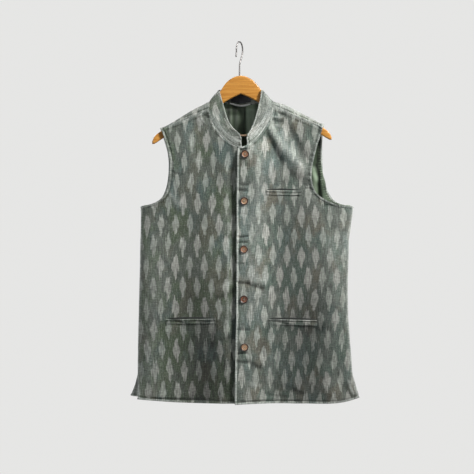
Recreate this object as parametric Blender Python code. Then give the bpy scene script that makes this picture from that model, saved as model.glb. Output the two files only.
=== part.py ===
"""A sleeveless Nehru jacket, buttoned and hung on a contoured wooden hanger.

Frame: metres, +Z up. The origin is the inner top of the hanger's hook, where the rail that holds it touches.
The jacket faces -Y. The wearer's right front is at -X and the wearer's left front, which laps over it, at +X.
Every cloth piece is a shell on one garment form: the hanger's ridge, with a front and a back hanging from it.
"""

import math

import bpy
import bmesh
import numpy as np
from mathutils import Matrix, Vector

# Driving dimensions
CLOTH = 0.0016  # outer cloth with its interfacing
LINING = 0.0010
LINING_GAP = 0.0008
COLLAR = 0.0024  # two layers and an interfacing
SEAM = 0.0004  # gap between pieces that are sewn together
RIDGE_RADIUS = 0.0115  # outer radius of the cloth where it turns over the hanger
NECK_FRONT = -0.262
# The collar holds the neck open, so the cloth stands out: middle x, middle z, width, height and depth.
NECK_FRONT_BUMP = (0.012, -0.250, 0.075, 0.090, 0.024)
NECK_BACK_BUMP = (0.004, -0.150, 0.070, 0.080, 0.016)
FRONT_DEPTH = 0.030  # how far the fronts stand off the middle plane at the chest
BACK_DEPTH = 0.026
DEPTH_GROWTH = 0.200  # below the ridge, the length over which that depth is reached
HANGER_CONTOUR = 0.010  # how far the hanger's ends come forward
HANGER_HALF = 0.220
HANGER_TILT = 0.024  # radians, its +X end up
UNDERARM = -0.402
VENT_TOP = -0.805
HEM = -0.887
CLOSING_TOP = -0.200  # above it the shoulders keep their full depth out to their tips
SIDE_POWER = 3.0  # how squarely the body's cross-section turns at the side seams
FRONT, BACK = -1.0, 1.0


def table(columns, *rows):
    """A short table as one array for each named column."""
    return dict(zip(columns.split(), np.array(rows, float).T))


# The line of the shoulders' top. Between the neck points it runs on above the neck, as a guide.
RIDGE = table(
    "x        z",
    (-0.290, -0.262),
    (-0.192, -0.2115),
    (-0.155, -0.1896),
    (-0.116, -0.1660),
    (-0.090, -0.1530),
    (-0.075, -0.1460),
    (0.000, -0.1300),
    (0.083, -0.1455),
    (0.112, -0.1535),
    (0.134, -0.1645),
    (0.183, -0.1896),
    (0.206, -0.2025),
    (0.310, -0.2570),
)

# The side edges of the body, from the underarm down. Below the vent's top the fronts and the back part.
SIDES = table(
    "z       left_front  left_back  right_front  right_back",
    (UNDERARM, -0.2410, -0.2410, 0.2785, 0.2785),
    (-0.455, -0.2418, -0.2418, 0.2722, 0.2722),
    (-0.492, -0.2422, -0.2422, 0.2672, 0.2672),
    (-0.545, -0.2426, -0.2426, 0.2658, 0.2658),
    (-0.606, -0.2445, -0.2445, 0.2648, 0.2648),
    (-0.667, -0.2458, -0.2458, 0.2662, 0.2662),
    (-0.716, -0.2470, -0.2470, 0.2695, 0.2695),
    (-0.765, -0.2480, -0.2480, 0.2732, 0.2732),
    (VENT_TOP, -0.2484, -0.2484, 0.2762, 0.2762),
    (-0.835, -0.2487, -0.2547, 0.2838, 0.2800),
    (HEM, -0.2490, -0.2790, 0.2990, 0.2870),
)

# Each row joins a point of the neckline or front edge to one of the armhole or side seam. Below the
# underarm its outer end keeps only its height: the side edge gives its x.
RIGHT_FRONT = table(
    "in_x      in_z     out_x    out_z",
    (-0.0750, -0.1670, -0.1930, -0.2140),
    (-0.0725, -0.1760, -0.1895, -0.2210),
    (-0.0690, -0.1880, -0.1850, -0.2320),
    (-0.0647, -0.2000, -0.1808, -0.2450),
    (-0.0554, -0.2160, -0.1768, -0.2580),
    (-0.0404, -0.2337, -0.1735, -0.2710),
    (-0.0216, -0.2480, -0.1712, -0.2860),
    (-0.0040, -0.2550, -0.1703, -0.3000),
    (0.0140, -0.2575, -0.1704, -0.3130),
    (0.0310, -0.2590, -0.1715, -0.3260),
    (0.0310, -0.2870, -0.1735, -0.3410),
    (0.0310, -0.3130, -0.1765, -0.3570),
    (0.0310, -0.3380, -0.1830, -0.3730),
    (0.0310, -0.3570, -0.1948, -0.3847),
    (0.0310, -0.3740, -0.2095, -0.3930),
    (0.0310, -0.3880, -0.2262, -0.3982),
    (0.0310, -0.4000, -0.2410, UNDERARM),
    (0.0305, -0.4550, -0.2420, -0.4580),
    (0.0300, -0.5450, -0.2426, -0.5450),
    (0.0290, -0.6670, -0.2458, -0.6670),
    (0.0280, -0.7650, -0.2480, -0.7650),
    (0.0270, -0.8250, -0.2486, -0.8200),
    (0.0260, -0.8840, -0.2490, -0.8740),
)
LEFT_FRONT = table(
    "in_x      in_z     out_x    out_z",
    (0.0840, -0.1600, 0.2034, -0.2117),
    (0.0813, -0.1700, 0.2000, -0.2210),
    (0.0775, -0.1810, 0.1968, -0.2330),
    (0.0703, -0.1950, 0.1925, -0.2460),
    (0.0610, -0.2110, 0.1885, -0.2600),
    (0.0478, -0.2290, 0.1850, -0.2740),
    (0.0348, -0.2413, 0.1812, -0.2890),
    (0.0196, -0.2510, 0.1783, -0.3030),
    (0.0075, -0.2560, 0.1763, -0.3160),
    (-0.0045, -0.2605, 0.1762, -0.3290),
    (-0.0058, -0.2900, 0.1780, -0.3440),
    (-0.0064, -0.3160, 0.1822, -0.3580),
    (-0.0067, -0.3400, 0.1895, -0.3700),
    (-0.0070, -0.3600, 0.2010, -0.3800),
    (-0.0072, -0.3760, 0.2200, -0.3895),
    (-0.0073, -0.3890, 0.2440, -0.3980),
    (-0.0074, -0.4000, 0.2785, UNDERARM),
    (-0.0075, -0.4550, 0.2715, -0.4580),
    (-0.0076, -0.5450, 0.2658, -0.5450),
    (-0.0084, -0.6670, 0.2662, -0.6670),
    (-0.0104, -0.7650, 0.2732, -0.7650),
    (-0.0112, -0.8250, 0.2812, -0.8250),
    (-0.0118, -0.8868, 0.2947, -0.8693),
)
# The back's rows run from the left armhole or side to the right one. Its top row is the ridge.
BACK_ROWS = table(
    "left_x   left_z   right_x  right_z",
    (-0.1935, -0.2123, 0.2060, -0.2025),
    (-0.1865, -0.2340, 0.2035, -0.2340),
    (-0.1800, -0.2560, 0.2027, -0.2560),
    (-0.1755, -0.2780, 0.2030, -0.2780),
    (-0.1735, -0.3000, 0.2040, -0.3000),
    (-0.1740, -0.3220, 0.2055, -0.3220),
    (-0.1770, -0.3460, 0.2100, -0.3460),
    (-0.1830, -0.3660, 0.2185, -0.3660),
    (-0.1920, -0.3810, 0.2265, -0.3790),
    (-0.2060, -0.3905, 0.2345, -0.3875),
    (-0.2180, -0.3960, 0.2470, -0.3945),
    (-0.2295, -0.3995, 0.2620, -0.3988),
    (-0.2410, UNDERARM, 0.2785, UNDERARM),
    (-0.2418, -0.4550, 0.2722, -0.4550),
    (-0.2426, -0.5450, 0.2658, -0.5450),
    (-0.2458, -0.6670, 0.2662, -0.6670),
    (-0.2480, -0.7650, 0.2732, -0.7650),
    (-0.2530, -0.8250, 0.2790, -0.8250),
    (-0.2680, -0.8640, 0.2850, -0.8700),
)
# The back neck seam, and the depth below the ridge guide at which it lies.
BACK_NECK = table(
    "x       drop",
    (-0.0750, 0.0000),
    (-0.0700, 0.0020),
    (-0.0500, 0.0065),
    (-0.0260, 0.0140),
    (0.0040, 0.0215),
    (0.0340, 0.0140),
    (0.0580, 0.0065),
    (0.0780, 0.0020),
    (0.0830, 0.0000),
)
# How far each panel's hem hangs below the straight line between its lower corners, how far that bow
# is moved towards the second corner, and how blunt it is. The panel is as front in body_point.
HEM_BOWS = table(
    "panel  bow     skew  blunt",
    (-1, 0.0035, 1.0, 1.0),
    (0, 0.0090, 1.0, 0.35),
    (1, 0.0105, 2.8, 1.0),
)

# The collar's top edge over places along the whole neckline, from the right front's edge round to the left's.
COLLAR_TOP = table(
    "along   x        y        z",
    (0.053, 0.0020, -0.0425, -0.2255),
    (0.083, -0.0060, -0.0400, -0.2185),
    (0.125, -0.0165, -0.0350, -0.2085),
    (0.167, -0.0240, -0.0300, -0.1975),
    (0.208, -0.0300, -0.0250, -0.1840),
    (0.250, -0.0345, -0.0200, -0.1690),
    (0.292, -0.0395, -0.0155, -0.1500),
    (0.325, -0.0445, -0.0125, -0.1335),
    (0.345, -0.0490, -0.0100, -0.1195),
    (0.358, -0.0525, -0.0020, -0.1185),
    (0.375, -0.0510, 0.0090, -0.1165),
    (0.417, -0.0380, 0.0190, -0.1130),
    (0.458, -0.0210, 0.0235, -0.1115),
    (0.500, -0.0040, 0.0250, -0.1110),
    (0.542, 0.0130, 0.0240, -0.1110),
    (0.583, 0.0300, 0.0205, -0.1115),
    (0.625, 0.0500, 0.0120, -0.1140),
    (0.655, 0.0570, 0.0000, -0.1160),
    (0.675, 0.0535, -0.0100, -0.1160),
    (0.695, 0.0515, -0.0130, -0.1290),
    (0.720, 0.0485, -0.0155, -0.1440),
    (0.750, 0.0445, -0.0190, -0.1620),
    (0.792, 0.0390, -0.0240, -0.1820),
    (0.833, 0.0335, -0.0295, -0.1995),
    (0.875, 0.0280, -0.0350, -0.2110),
    (0.917, 0.0230, -0.0405, -0.2195),
    (0.951, 0.0190, -0.0440, -0.2265),
)
COLLAR_CORNER = 0.007  # radius of its two upper corners
COLLAR_RISE = 0.0016  # from the neckline's edge to the collar's own
COLLAR_BOW = 0.0010

# The largest folds: soft ridges of the cloth along a straight run, as wide and as high as given.
FOLDS = table(
    "side    x0       z0       x1       z1      width   height",
    (1, 0.0720, -0.2180, 0.1050, -0.2700, 0.0150, 0.0050),
    (1, 0.1050, -0.2700, 0.1560, -0.3300, 0.0170, 0.0055),
    (1, 0.2100, -0.7700, 0.2650, -0.8700, 0.0200, -0.0040),
    (1, 0.0300, -0.8300, 0.1500, -0.8700, 0.0180, -0.0030),
    (-1, -0.0380, -0.2900, -0.0300, -0.8400, 0.0160, 0.0030),
)

# The hanger in its own upright frame, from its middle out to either end.
HANGER = table(
    "reach    top      bottom   thickness",
    (0.0000, -0.0813, -0.1265, 0.0110),
    (0.0080, -0.0822, -0.1295, 0.0110),
    (0.0160, -0.0848, -0.1330, 0.0110),
    (0.0240, -0.0888, -0.1370, 0.0110),
    (0.0320, -0.0946, -0.1413, 0.0110),
    (0.0400, -0.1032, -0.1460, 0.0110),
    (0.0460, -0.1115, -0.1495, 0.0110),
    (0.0500, -0.1175, -0.1515, 0.0110),
    (0.0560, -0.1290, -0.1550, 0.0110),
    (0.0620, -0.1395, -0.1590, 0.0110),
    (0.0700, -0.1490, -0.1650, 0.0110),
    (0.0800, -0.1560, -0.1725, 0.0110),
    (0.0950, -0.1628, -0.1800, 0.0110),
    (0.1200, -0.1740, -0.1915, 0.0110),
    (0.1500, -0.1890, -0.2065, 0.0110),
    (0.1750, -0.2010, -0.2200, 0.0108),
    (0.1900, -0.2090, -0.2288, 0.0106),
    (0.2020, -0.2155, -0.2362, 0.0104),
    (0.2100, -0.2215, -0.2412, 0.0100),
    (0.2160, -0.2288, -0.2440, 0.0088),
    (0.2195, -0.2365, -0.2440, 0.0062),
)
HANGER_EDGE = 0.0036  # radius of its long edges
HOOK_WIRE = 0.0036
HOOK_RADIUS = 0.0200  # of the arc, at the wire's middle
HOOK_TURN = math.radians(67.5)  # the hook's plane, turned on its shank from the hanger's
HOOK_SHANK = table(
    "x       z",
    (0.0000, -0.0808),
    (0.0000, -0.0700),
    (0.0000, -0.0600),
    (0.0014, -0.0530),
    (0.0058, -0.0450),
    (0.0110, -0.0385),
)
HOOK_TIP = table(
    "x        z",
    (-0.0205, -0.0260),
    (-0.0213, -0.0320),
    (-0.0220, -0.0370),
)

# Pocket welts: the front they lie on, and the mouth's two ends. Each stands a height below its mouth.
WELTS = {
    "breast_welt": (1, 0.0655, -0.3610, 0.1510, -0.3625, 0.0118),
    "left_pocket_welt": (1, 0.0715, -0.6755, 0.1905, -0.6785, 0.0145),
    "right_pocket_welt": (-1, -0.1790, -0.6760, -0.0585, -0.6750, 0.0122),
}
WELT_CLOTH = 0.0012

BUTTONS = table(
    "x       z",
    (0.0135, -0.2742),
    (0.0113, -0.3886),
    (0.0106, -0.5067),
    (0.0108, -0.6287),
    (0.0123, -0.7458),
)
BUTTON_RADIUS = 0.0100
BUTTON_THICKNESS = 0.0032
BUTTON_DISH = 0.0066
BUTTON_HOLE = 0.0009
BUTTON_HOLE_PITCH = 0.0017

BUTTON_SHANK = 0.0008  # from the cloth to the button's back

LABEL_CLOTH = 0.0006
LABEL_ACROSS = (0.462, 0.574)  # of the collar's length
LABEL_UP = (0.10, 0.62)  # of its height
TAPE_COLUMNS = slice(10, 13)  # of the back's
TAPE_DOWN = (0.004, 0.009, 0.014)  # of the back's length

COLLAR_HOOK_PLACE = (0.0103, -0.0378, -0.2290)
COLLAR_HOOK_WIDTH = 0.0190
COLLAR_HOOK_BAR = 0.0011

WOOD = ("wood", (0.72, 0.36, 0.10), 0.35, 0.0)
STEEL = ("steel", (0.62, 0.61, 0.58), 0.30, 1.0)
IKAT = ("ikat_cloth", (0.13, 0.17, 0.14), 0.85, 0.0)
SATIN = ("lining_cloth", (0.07, 0.12, 0.06), 0.45, 0.0)
SHELL = ("button_shell", (0.36, 0.16, 0.08), 0.40, 0.0)
INK = ("label_cloth", (0.02, 0.02, 0.03), 0.70, 0.0)
WHITE = ("label_tape", (0.80, 0.80, 0.76), 0.70, 0.0)
BRASS = ("brass", (0.66, 0.45, 0.30), 0.35, 1.0)


def clear_scene():
    for item in list(bpy.data.objects):
        bpy.data.objects.remove(item)


def material(finish):
    name, colour, roughness, metallic = finish
    made = bpy.data.materials.get(name)
    if made is None:
        made = bpy.data.materials.new(name)
        made.use_nodes = True
        shader = made.node_tree.nodes["Principled BSDF"]
        shader.inputs["Base Color"].default_value = (*colour, 1.0)
        shader.inputs["Roughness"].default_value = roughness
        shader.inputs["Metallic"].default_value = metallic
    return made


def smoothstep(value):
    t = np.clip(value, 0.0, 1.0)
    return t * t * (3.0 - 2.0 * t)


def curve_through(keys, values, at):
    """A smooth curve through the values that never overshoots them, read at the given keys."""
    if keys[0] > keys[-1]:
        keys, values = keys[::-1], values[::-1]
    step, rise = np.diff(keys), np.diff(values)
    slope = rise / step
    inner = np.where(
        slope[:-1] * slope[1:] > 0.0,
        2.0 * slope[:-1] * slope[1:] / np.where(slope[:-1] + slope[1:] == 0.0, 1.0, slope[:-1] + slope[1:]),
        0.0,
    )
    tangent = np.concatenate([slope[:1], inner, slope[-1:]])
    at = np.clip(at, keys[0], keys[-1])
    i = np.clip(np.searchsorted(keys, at) - 1, 0, len(step) - 1)
    t = (at - keys[i]) / step[i]
    return (
        (1 + 2 * t) * (1 - t) ** 2 * values[i]
        + t * (1 - t) ** 2 * step[i] * tangent[i]
        + t * t * (3 - 2 * t) * values[i + 1]
        + t * t * (t - 1) * step[i] * tangent[i + 1]
    )


def row_curve(rows, column, at):
    """A column of a row table, read at at from 0, its first row, to 1, its last."""
    keys = np.linspace(0.0, 1.0, len(rows[column]))
    return curve_through(keys, rows[column], at)


def ridge_height(x):
    return curve_through(RIDGE["x"], RIDGE["z"], x)


def fold_height(front, x, z):
    """How far the large folds lift a front's cloth: a bell across each fold, faded at its ends."""
    lift = np.zeros(np.broadcast(x, z).shape)
    for side, x0, z0, x1, z1, width, height in zip(*FOLDS.values()):
        if side != front:
            continue
        run = np.array([x1 - x0, z1 - z0])
        length = np.hypot(*run)
        along = ((x - x0) * run[0] + (z - z0) * run[1]) / length
        across = ((x - x0) * run[1] - (z - z0) * run[0]) / length
        ends = smoothstep((along + width) / (2 * width)) * smoothstep((length + width - along) / (2 * width))
        lift += height * ends * np.exp(-((across / width) ** 2))
    return lift


def bump(x, z, form):
    middle_x, middle_z, width, height, depth = form
    return depth * np.exp(-(((x - middle_x) / width) ** 2) - ((z - middle_z) / height) ** 2)


def body_point(side, x, z, front=0):
    """The garment's outer surface on one side of the ridge, over the point x, z of the front view.

    A section hangs as a round turn over the hanger that widens to the body's depth and closes at
    the side seams. front is -1 for the wearer's right front, 1 for the left one and 0 for the back.
    """
    names = ("left_front", "right_front") if side == FRONT else ("left_back", "right_back")
    left, right = (curve_through(SIDES["z"], SIDES[n], z) for n in names)
    share = np.clip(np.abs((x - (left + right) / 2) / ((right - left) / 2)), 0.0, 1.0)
    drop = np.maximum(ridge_height(x) - z, 0.0)
    turn = RIDGE_RADIUS * np.sqrt(1.0 - (1.0 - np.minimum(drop / RIDGE_RADIUS, 1.0)) ** 2)
    full = FRONT_DEPTH if side == FRONT else BACK_DEPTH
    fallen = smoothstep(drop / DEPTH_GROWTH)
    depth = turn + (full - RIDGE_RADIUS) * fallen
    parted = smoothstep((VENT_TOP - z) / (VENT_TOP - HEM))
    closing = np.sqrt(1.0 - share**SIDE_POWER)
    lowered = smoothstep((CLOSING_TOP - z) / (CLOSING_TOP - UNDERARM))
    closing = 1.0 + (closing - 1.0) * lowered
    closing = closing + (1.0 - 0.55 * share**4 - closing) * parted
    depth = depth * closing
    off_ridge = smoothstep(drop / 0.030)
    below_neck = smoothstep((NECK_FRONT - z) / 0.060)
    if side == FRONT:
        depth = depth + bump(x, z, NECK_FRONT_BUMP) * off_ridge + fold_height(front, x, z)
        if front < 0:  # it passes under the other front, in a valley beside that front's edge
            depth = depth - (0.0026 + 0.0045 * below_neck) * smoothstep((x + 0.050) / 0.036)
        else:  # its edge stands a little proud
            depth = depth + 0.0020 * np.exp(-np.maximum(x + 0.010, 0.0) / 0.014) * below_neck
    else:
        depth = depth + bump(x, z, NECK_BACK_BUMP) * off_ridge
    y = side * (depth + SEAM / 2 * off_ridge) - HANGER_CONTOUR * (x / HANGER_HALF) ** 2 * (1.0 - lowered)
    return np.stack(np.broadcast_arrays(x, y, z), axis=-1)


def hem_drop(front, share, down):
    """How far a panel hangs below the line between its lower corners, from down = 0.85 to its hem."""
    row = list(HEM_BOWS["panel"]).index(front)
    bow, skew, blunt = (HEM_BOWS[name][row] for name in ("bow", "skew", "blunt"))
    wave = np.maximum(np.sin(np.clip(share, 0.0, 1.0) ** skew * math.pi), 0.0)
    return bow * smoothstep((down - 0.85) / 0.15) * wave**blunt


def front_surface(rows, front):
    """A front as a function of across, 0 at the neckline or front edge, and down, 0 at the shoulder seam."""

    def at(across, down):
        in_x, in_z, out_x, out_z = (row_curve(rows, c, down) for c in rows)
        edge = curve_through(SIDES["z"], SIDES["left_front" if front < 0 else "right_front"], out_z)
        out_x = np.where(out_z > UNDERARM, out_x, edge)
        share = np.sin(across * math.pi / 2)
        z = in_z + (out_z - in_z) * share - hem_drop(front, share, down)
        return body_point(FRONT, in_x + (out_x - in_x) * share, z, front)

    return at


def back_surface(across, down):
    """The back below the ridge, with across from the left side to the right one.

    Its top row runs along the ridge and dips to the neck seam between the neck points.
    """
    left_x, left_z, right_x, right_z = (row_curve(BACK_ROWS, c, down) for c in BACK_ROWS)
    left_x = np.where(left_z > UNDERARM, left_x, curve_through(SIDES["z"], SIDES["left_back"], left_z))
    right_x = np.where(right_z > UNDERARM, right_x, curve_through(SIDES["z"], SIDES["right_back"], right_z))
    share = (1.0 - np.cos(across * math.pi)) / 2
    x = left_x + (right_x - left_x) * share
    top = left_x * 0 + BACK_ROWS["left_x"][0] + (BACK_ROWS["right_x"][0] - BACK_ROWS["left_x"][0]) * share
    top = top + (x - top) * smoothstep(down / 0.3)
    chord = left_z + (right_z - left_z) * share
    chord_top = BACK_ROWS["left_z"][0] + (BACK_ROWS["right_z"][0] - BACK_ROWS["left_z"][0]) * share
    neck = np.where(
        (top > BACK_NECK["x"][0]) & (top < BACK_NECK["x"][-1]),
        curve_through(BACK_NECK["x"], BACK_NECK["drop"], top),
        0.0,
    )
    rise = ridge_height(top) - neck - chord_top
    z = chord + rise * np.maximum(1.0 - down / 0.62, 0.0) ** 2 - hem_drop(0, share, down)
    z = np.minimum(z, ridge_height(x))
    return body_point(BACK, x, z)


def strip_surface(front):
    """The back's shoulder, brought over the ridge to the seam on one front.

    across runs from the neck to the armhole and over from the ridge, 0, to the seam, 1.
    """
    rows = LEFT_FRONT if front > 0 else RIGHT_FRONT
    neck_x = BACK_NECK["x"][-1 if front > 0 else 0]
    tip_x = BACK_ROWS["right_x" if front > 0 else "left_x"][0]
    seam = [rows[c][0] for c in ("in_x", "in_z", "out_x", "out_z")]

    def at(across, over):
        x = neck_x + (tip_x - neck_x) * across
        seam_x = seam[0] + (seam[2] - seam[0]) * across
        seam_z = seam[1] + (seam[3] - seam[1]) * across
        end = np.minimum(ridge_height(seam_x) - seam_z - SEAM, RIDGE_RADIUS * 8)
        quarter = RIDGE_RADIUS * math.pi / 2
        reach = np.where(
            end < RIDGE_RADIUS,
            RIDGE_RADIUS * np.arccos(np.clip(1.0 - end / RIDGE_RADIUS, -1.0, 1.0)),
            quarter + end - RIDGE_RADIUS,
        )
        gone = reach * over
        drop = np.where(
            gone < quarter, RIDGE_RADIUS * (1.0 - np.cos(gone / RIDGE_RADIUS)), RIDGE_RADIUS + gone - quarter
        )
        x = x + (seam_x - x) * over
        return body_point(FRONT, x, ridge_height(x) - drop, front)

    return at


def unit(vectors):
    return vectors / np.maximum(np.linalg.norm(vectors, axis=-1, keepdims=True), 1e-12)


class Surface:
    """Points with outward normals, joined by quads."""

    def __init__(self, points, normals, quads):
        self.points, self.normals, self.quads = points, normals, quads

    @classmethod
    def of(cls, at, columns, rows, outward, moved=0.0):
        """A grid of the function at(across, down), read at columns and rows and moved out along its normals.

        outward gives, for the points, any direction that lies on the outer side.
        """
        across, down = np.meshgrid(columns, rows)
        tiny = 1e-4
        points = at(across, down)
        along = at(np.minimum(across + tiny, 1.0), down) - at(np.maximum(across - tiny, 0.0), down)
        below = at(across, np.minimum(down + tiny, 1.0)) - at(across, np.maximum(down - tiny, 0.0))
        normals = np.cross(along, below)
        normals /= np.maximum(np.linalg.norm(normals, axis=-1, keepdims=True), 1e-15)
        if (normals * outward(points)).sum() < 0:
            normals = -normals
        index = np.arange(across.size).reshape(across.shape)
        quads = np.stack([index[:-1, :-1], index[:-1, 1:], index[1:, 1:], index[1:, :-1]], axis=-1)
        normals = normals.reshape(-1, 3)
        return cls(points.reshape(-1, 3) + moved * normals, normals, quads.reshape(-1, 4))

    def joined(self, other):
        """Both surfaces as one, sharing the points that coincide."""
        points = np.concatenate([self.points, other.points])
        normals = np.concatenate([self.normals, other.normals])
        quads = np.concatenate([self.quads, other.quads + len(self.points)])
        _, first, index = np.unique(np.round(points, 6), axis=0, return_index=True, return_inverse=True)
        return Surface(points[first], normals[first], index.reshape(-1)[quads])


def towards(x, y, z):
    return lambda points: np.array([x, y, z])


def add_object(name, shape, finish, parent=None):
    """A named object of a bmesh, with its faces out and its own material, hung from parent."""
    bmesh.ops.recalc_face_normals(shape, faces=shape.faces)
    mesh = bpy.data.meshes.new(name)
    shape.to_mesh(mesh)
    shape.free()
    mesh.materials.append(material(finish))
    mesh.shade_smooth()
    mesh.set_sharp_from_angle(angle=math.radians(40))
    made = bpy.data.objects.new(name, mesh)
    made.parent = parent
    bpy.context.scene.collection.objects.link(made)
    return made


def add_empty(name, parent=None):
    made = bpy.data.objects.new(name, None)
    made.parent = parent
    bpy.context.scene.collection.objects.link(made)
    return made


def add_shell(name, surface, thickness, finish, parent, lowest_side=0.0):
    """A closed wall: the surface, its copy moved inwards, and a rim round every free edge.

    lowest_side keeps the inner copy on one side of the middle plane, as FRONT or BACK times a small gap.
    """
    count = len(surface.points)
    inner = surface.points - thickness * surface.normals
    if lowest_side:
        kept = (np.minimum if lowest_side < 0 else np.maximum)(inner[:, 1], lowest_side)
        inner[:, 1] = np.where(surface.points[:, 2] < UNDERARM + 0.03, kept, inner[:, 1])
    shell = bmesh.new()
    corners = [shell.verts.new(p) for p in np.concatenate([surface.points, inner])]
    uses = {}
    for a, b, c, d in surface.quads.tolist():
        for triangle in ((a, b, c), (a, c, d)):
            if len(set(triangle)) < 3:
                continue
            shell.faces.new([corners[v] for v in triangle])
            shell.faces.new([corners[v + count] for v in reversed(triangle)])
            for i, v in enumerate(triangle):
                edge = (triangle[i - 1], v)
                uses[frozenset(edge)] = None if frozenset(edge) in uses else edge
    for a, b in filter(None, uses.values()):  # the free edges
        shell.faces.new([corners[b], corners[a], corners[a + count], corners[b + count]])
    return add_object(name, shell, finish, parent)


def row_marks(rows, between):
    """Places down a panel: each row of its table, with more of them between rows that lie far apart."""
    marks = np.linspace(0.0, 1.0, len(next(iter(rows.values()))))
    places = [np.linspace(a, b, n + 1)[:-1] for a, b, n in zip(marks, marks[1:], between)]
    return np.concatenate([*places, [1.0]])


FRONT_BETWEEN = (1,) * 16 + (1, 2, 2, 2, 2, 2)
BACK_BETWEEN = (1,) * 12 + (1, 2, 2, 2, 2, 1)
RIDGE_TURN = (0.05, 0.15, 0.30, 0.55)  # places in the back's first row, where it turns over the ridge
FRONT_COLUMNS = np.linspace(0.0, 1.0, 13)


def build_fronts(jacket):
    for name, rows, front in (("right_front", RIGHT_FRONT, -1), ("left_front", LEFT_FRONT, 1)):
        places = row_marks(rows, FRONT_BETWEEN)
        surface = Surface.of(front_surface(rows, front), FRONT_COLUMNS, places, towards(0, FRONT, 0))
        add_shell(name, surface, CLOTH, IKAT, jacket, FRONT * SEAM / 2)


def back_columns(shoulder, neck):
    """Places across the back, with one at each neck point and the given number of spaces between them."""
    left, right = BACK_ROWS["left_x"][0], BACK_ROWS["right_x"][0]
    neck_left, neck_right = BACK_NECK["x"][[0, -1]]
    marks = np.linspace(0.0, 1.0, shoulder + 1)
    turned = np.sin(marks * math.pi / 2)
    x = np.concatenate([
        neck_left - (neck_left - left) * turned[::-1],
        neck_left + (neck_right - neck_left) * (0.5 - 0.5 * np.cos(np.arange(1, neck) * math.pi / neck)),
        neck_right + (right - neck_right) * turned,
    ])
    return np.arccos(1.0 - 2.0 * (x - left) / (right - left)) / math.pi


BACK_COLUMNS = back_columns(6, 10)
BACK_PLACES = row_marks(BACK_ROWS, BACK_BETWEEN)
BACK_PLACES = np.sort(np.concatenate([BACK_PLACES, BACK_PLACES[1] * np.array(RIDGE_TURN)]))


def back_with_shoulders(columns, rows, over, moved=0.0):
    """The back's surface together with the two strips of it that come over the ridge."""
    back = Surface.of(back_surface, columns, rows, towards(0, BACK, 0), moved)
    ridge_x = back_surface(columns, np.zeros_like(columns))[:, 0]
    for front in (-1, 1):
        neck_x = BACK_NECK["x"][-1 if front > 0 else 0]
        tip_x = BACK_ROWS["right_x" if front > 0 else "left_x"][0]
        shares = (ridge_x - neck_x) / (tip_x - neck_x)
        strip_columns = np.clip(np.sort(shares[shares > -1e-6]), 0.0, 1.0)
        strip = Surface.of(strip_surface(front), strip_columns, over, towards(0, FRONT, 0.5), moved)
        back = back.joined(strip)
    return back


def build_back(jacket):
    surface = back_with_shoulders(BACK_COLUMNS, BACK_PLACES, np.linspace(0.0, 1.0, 6))
    add_shell("back", surface, CLOTH, IKAT, jacket, BACK * SEAM / 2)


def build_lining(jacket):
    """The back's lining, one place in from each of the back's edges, on its points moved inwards."""
    inwards = -(CLOTH + LINING_GAP)
    surface = Surface.of(back_surface, BACK_COLUMNS[1:-1], BACK_PLACES[1:-1], towards(0, BACK, 0), inwards)
    add_shell("back_lining", surface, LINING, SATIN, jacket, BACK * SEAM / 2)


def neckline():
    """The whole neckline as one run of points, and how far along it each lies as a share of its length."""
    fronts = np.linspace(9 / 22, 0.0, 60)  # as far as the rows' tenth points, where the front edges begin
    over = np.linspace(0.0, 1.0, 12)
    left, right = BACK_ROWS["left_x"][0], BACK_ROWS["right_x"][0]
    x = np.linspace(BACK_NECK["x"][0], BACK_NECK["x"][-1], 60)
    points = np.concatenate([
        front_surface(RIGHT_FRONT, -1)(np.zeros_like(fronts), fronts),
        strip_surface(-1)(np.zeros_like(over), over[::-1]),
        back_surface(np.arccos(1.0 - 2.0 * (x - left) / (right - left)) / math.pi, np.zeros_like(x)),
        strip_surface(1)(np.zeros_like(over), over),
        front_surface(LEFT_FRONT, 1)(np.zeros_like(fronts), fronts[::-1]),
    ])
    run = np.concatenate([[0.0], np.cumsum(np.linalg.norm(np.diff(points, axis=0), axis=1))])
    return points, run / run[-1], run[-1]


def neck_points():
    """How far along the neckline its two highest points lie, where it crosses the ridge."""
    points, share, _ = neckline()
    highest = [np.where(points[:, 0] * side > 0, points[:, 2], -1.0).argmax() for side in (-1, 1)]
    return share[highest]


def collar_surface():
    """The stand collar as a function of across, round the neck, and up, from the neckline to its top edge."""
    points, share, length = neckline()
    start, end = COLLAR_TOP["along"][[0, -1]]

    def at(across, up):
        along = start + (end - start) * across
        foot = np.stack([np.interp(along, share, points[:, i]) for i in range(3)], axis=-1)
        top = np.stack([curve_through(COLLAR_TOP["along"], COLLAR_TOP[c], along) for c in "xyz"], axis=-1)
        rise = top - foot
        tall = np.maximum(np.linalg.norm(rise, axis=-1, keepdims=True), 1e-6)
        near_end = np.minimum(across, 1.0 - across) * (end - start) * length
        cut = 1.0 - np.sqrt(np.clip(1.0 - (1.0 - np.minimum(near_end / COLLAR_CORNER, 1.0)) ** 2, 0.0, 1.0))
        height = (1.0 - COLLAR_CORNER * cut[..., None] / tall) * np.asarray(up)[..., None]
        low = COLLAR_RISE / tall
        height = low + (1.0 - low) * height
        outward = unit(foot * np.array([1.0, 1.0, 0.0]) - np.array([0.004, -0.010, 0.0]))
        return foot + rise * height + outward * COLLAR_BOW * np.sin(height * math.pi)

    return at


def collar_outward(points):
    return points * np.array([1.0, 1.0, 0.0]) - np.array([0.004, -0.010, 0.0])


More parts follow.
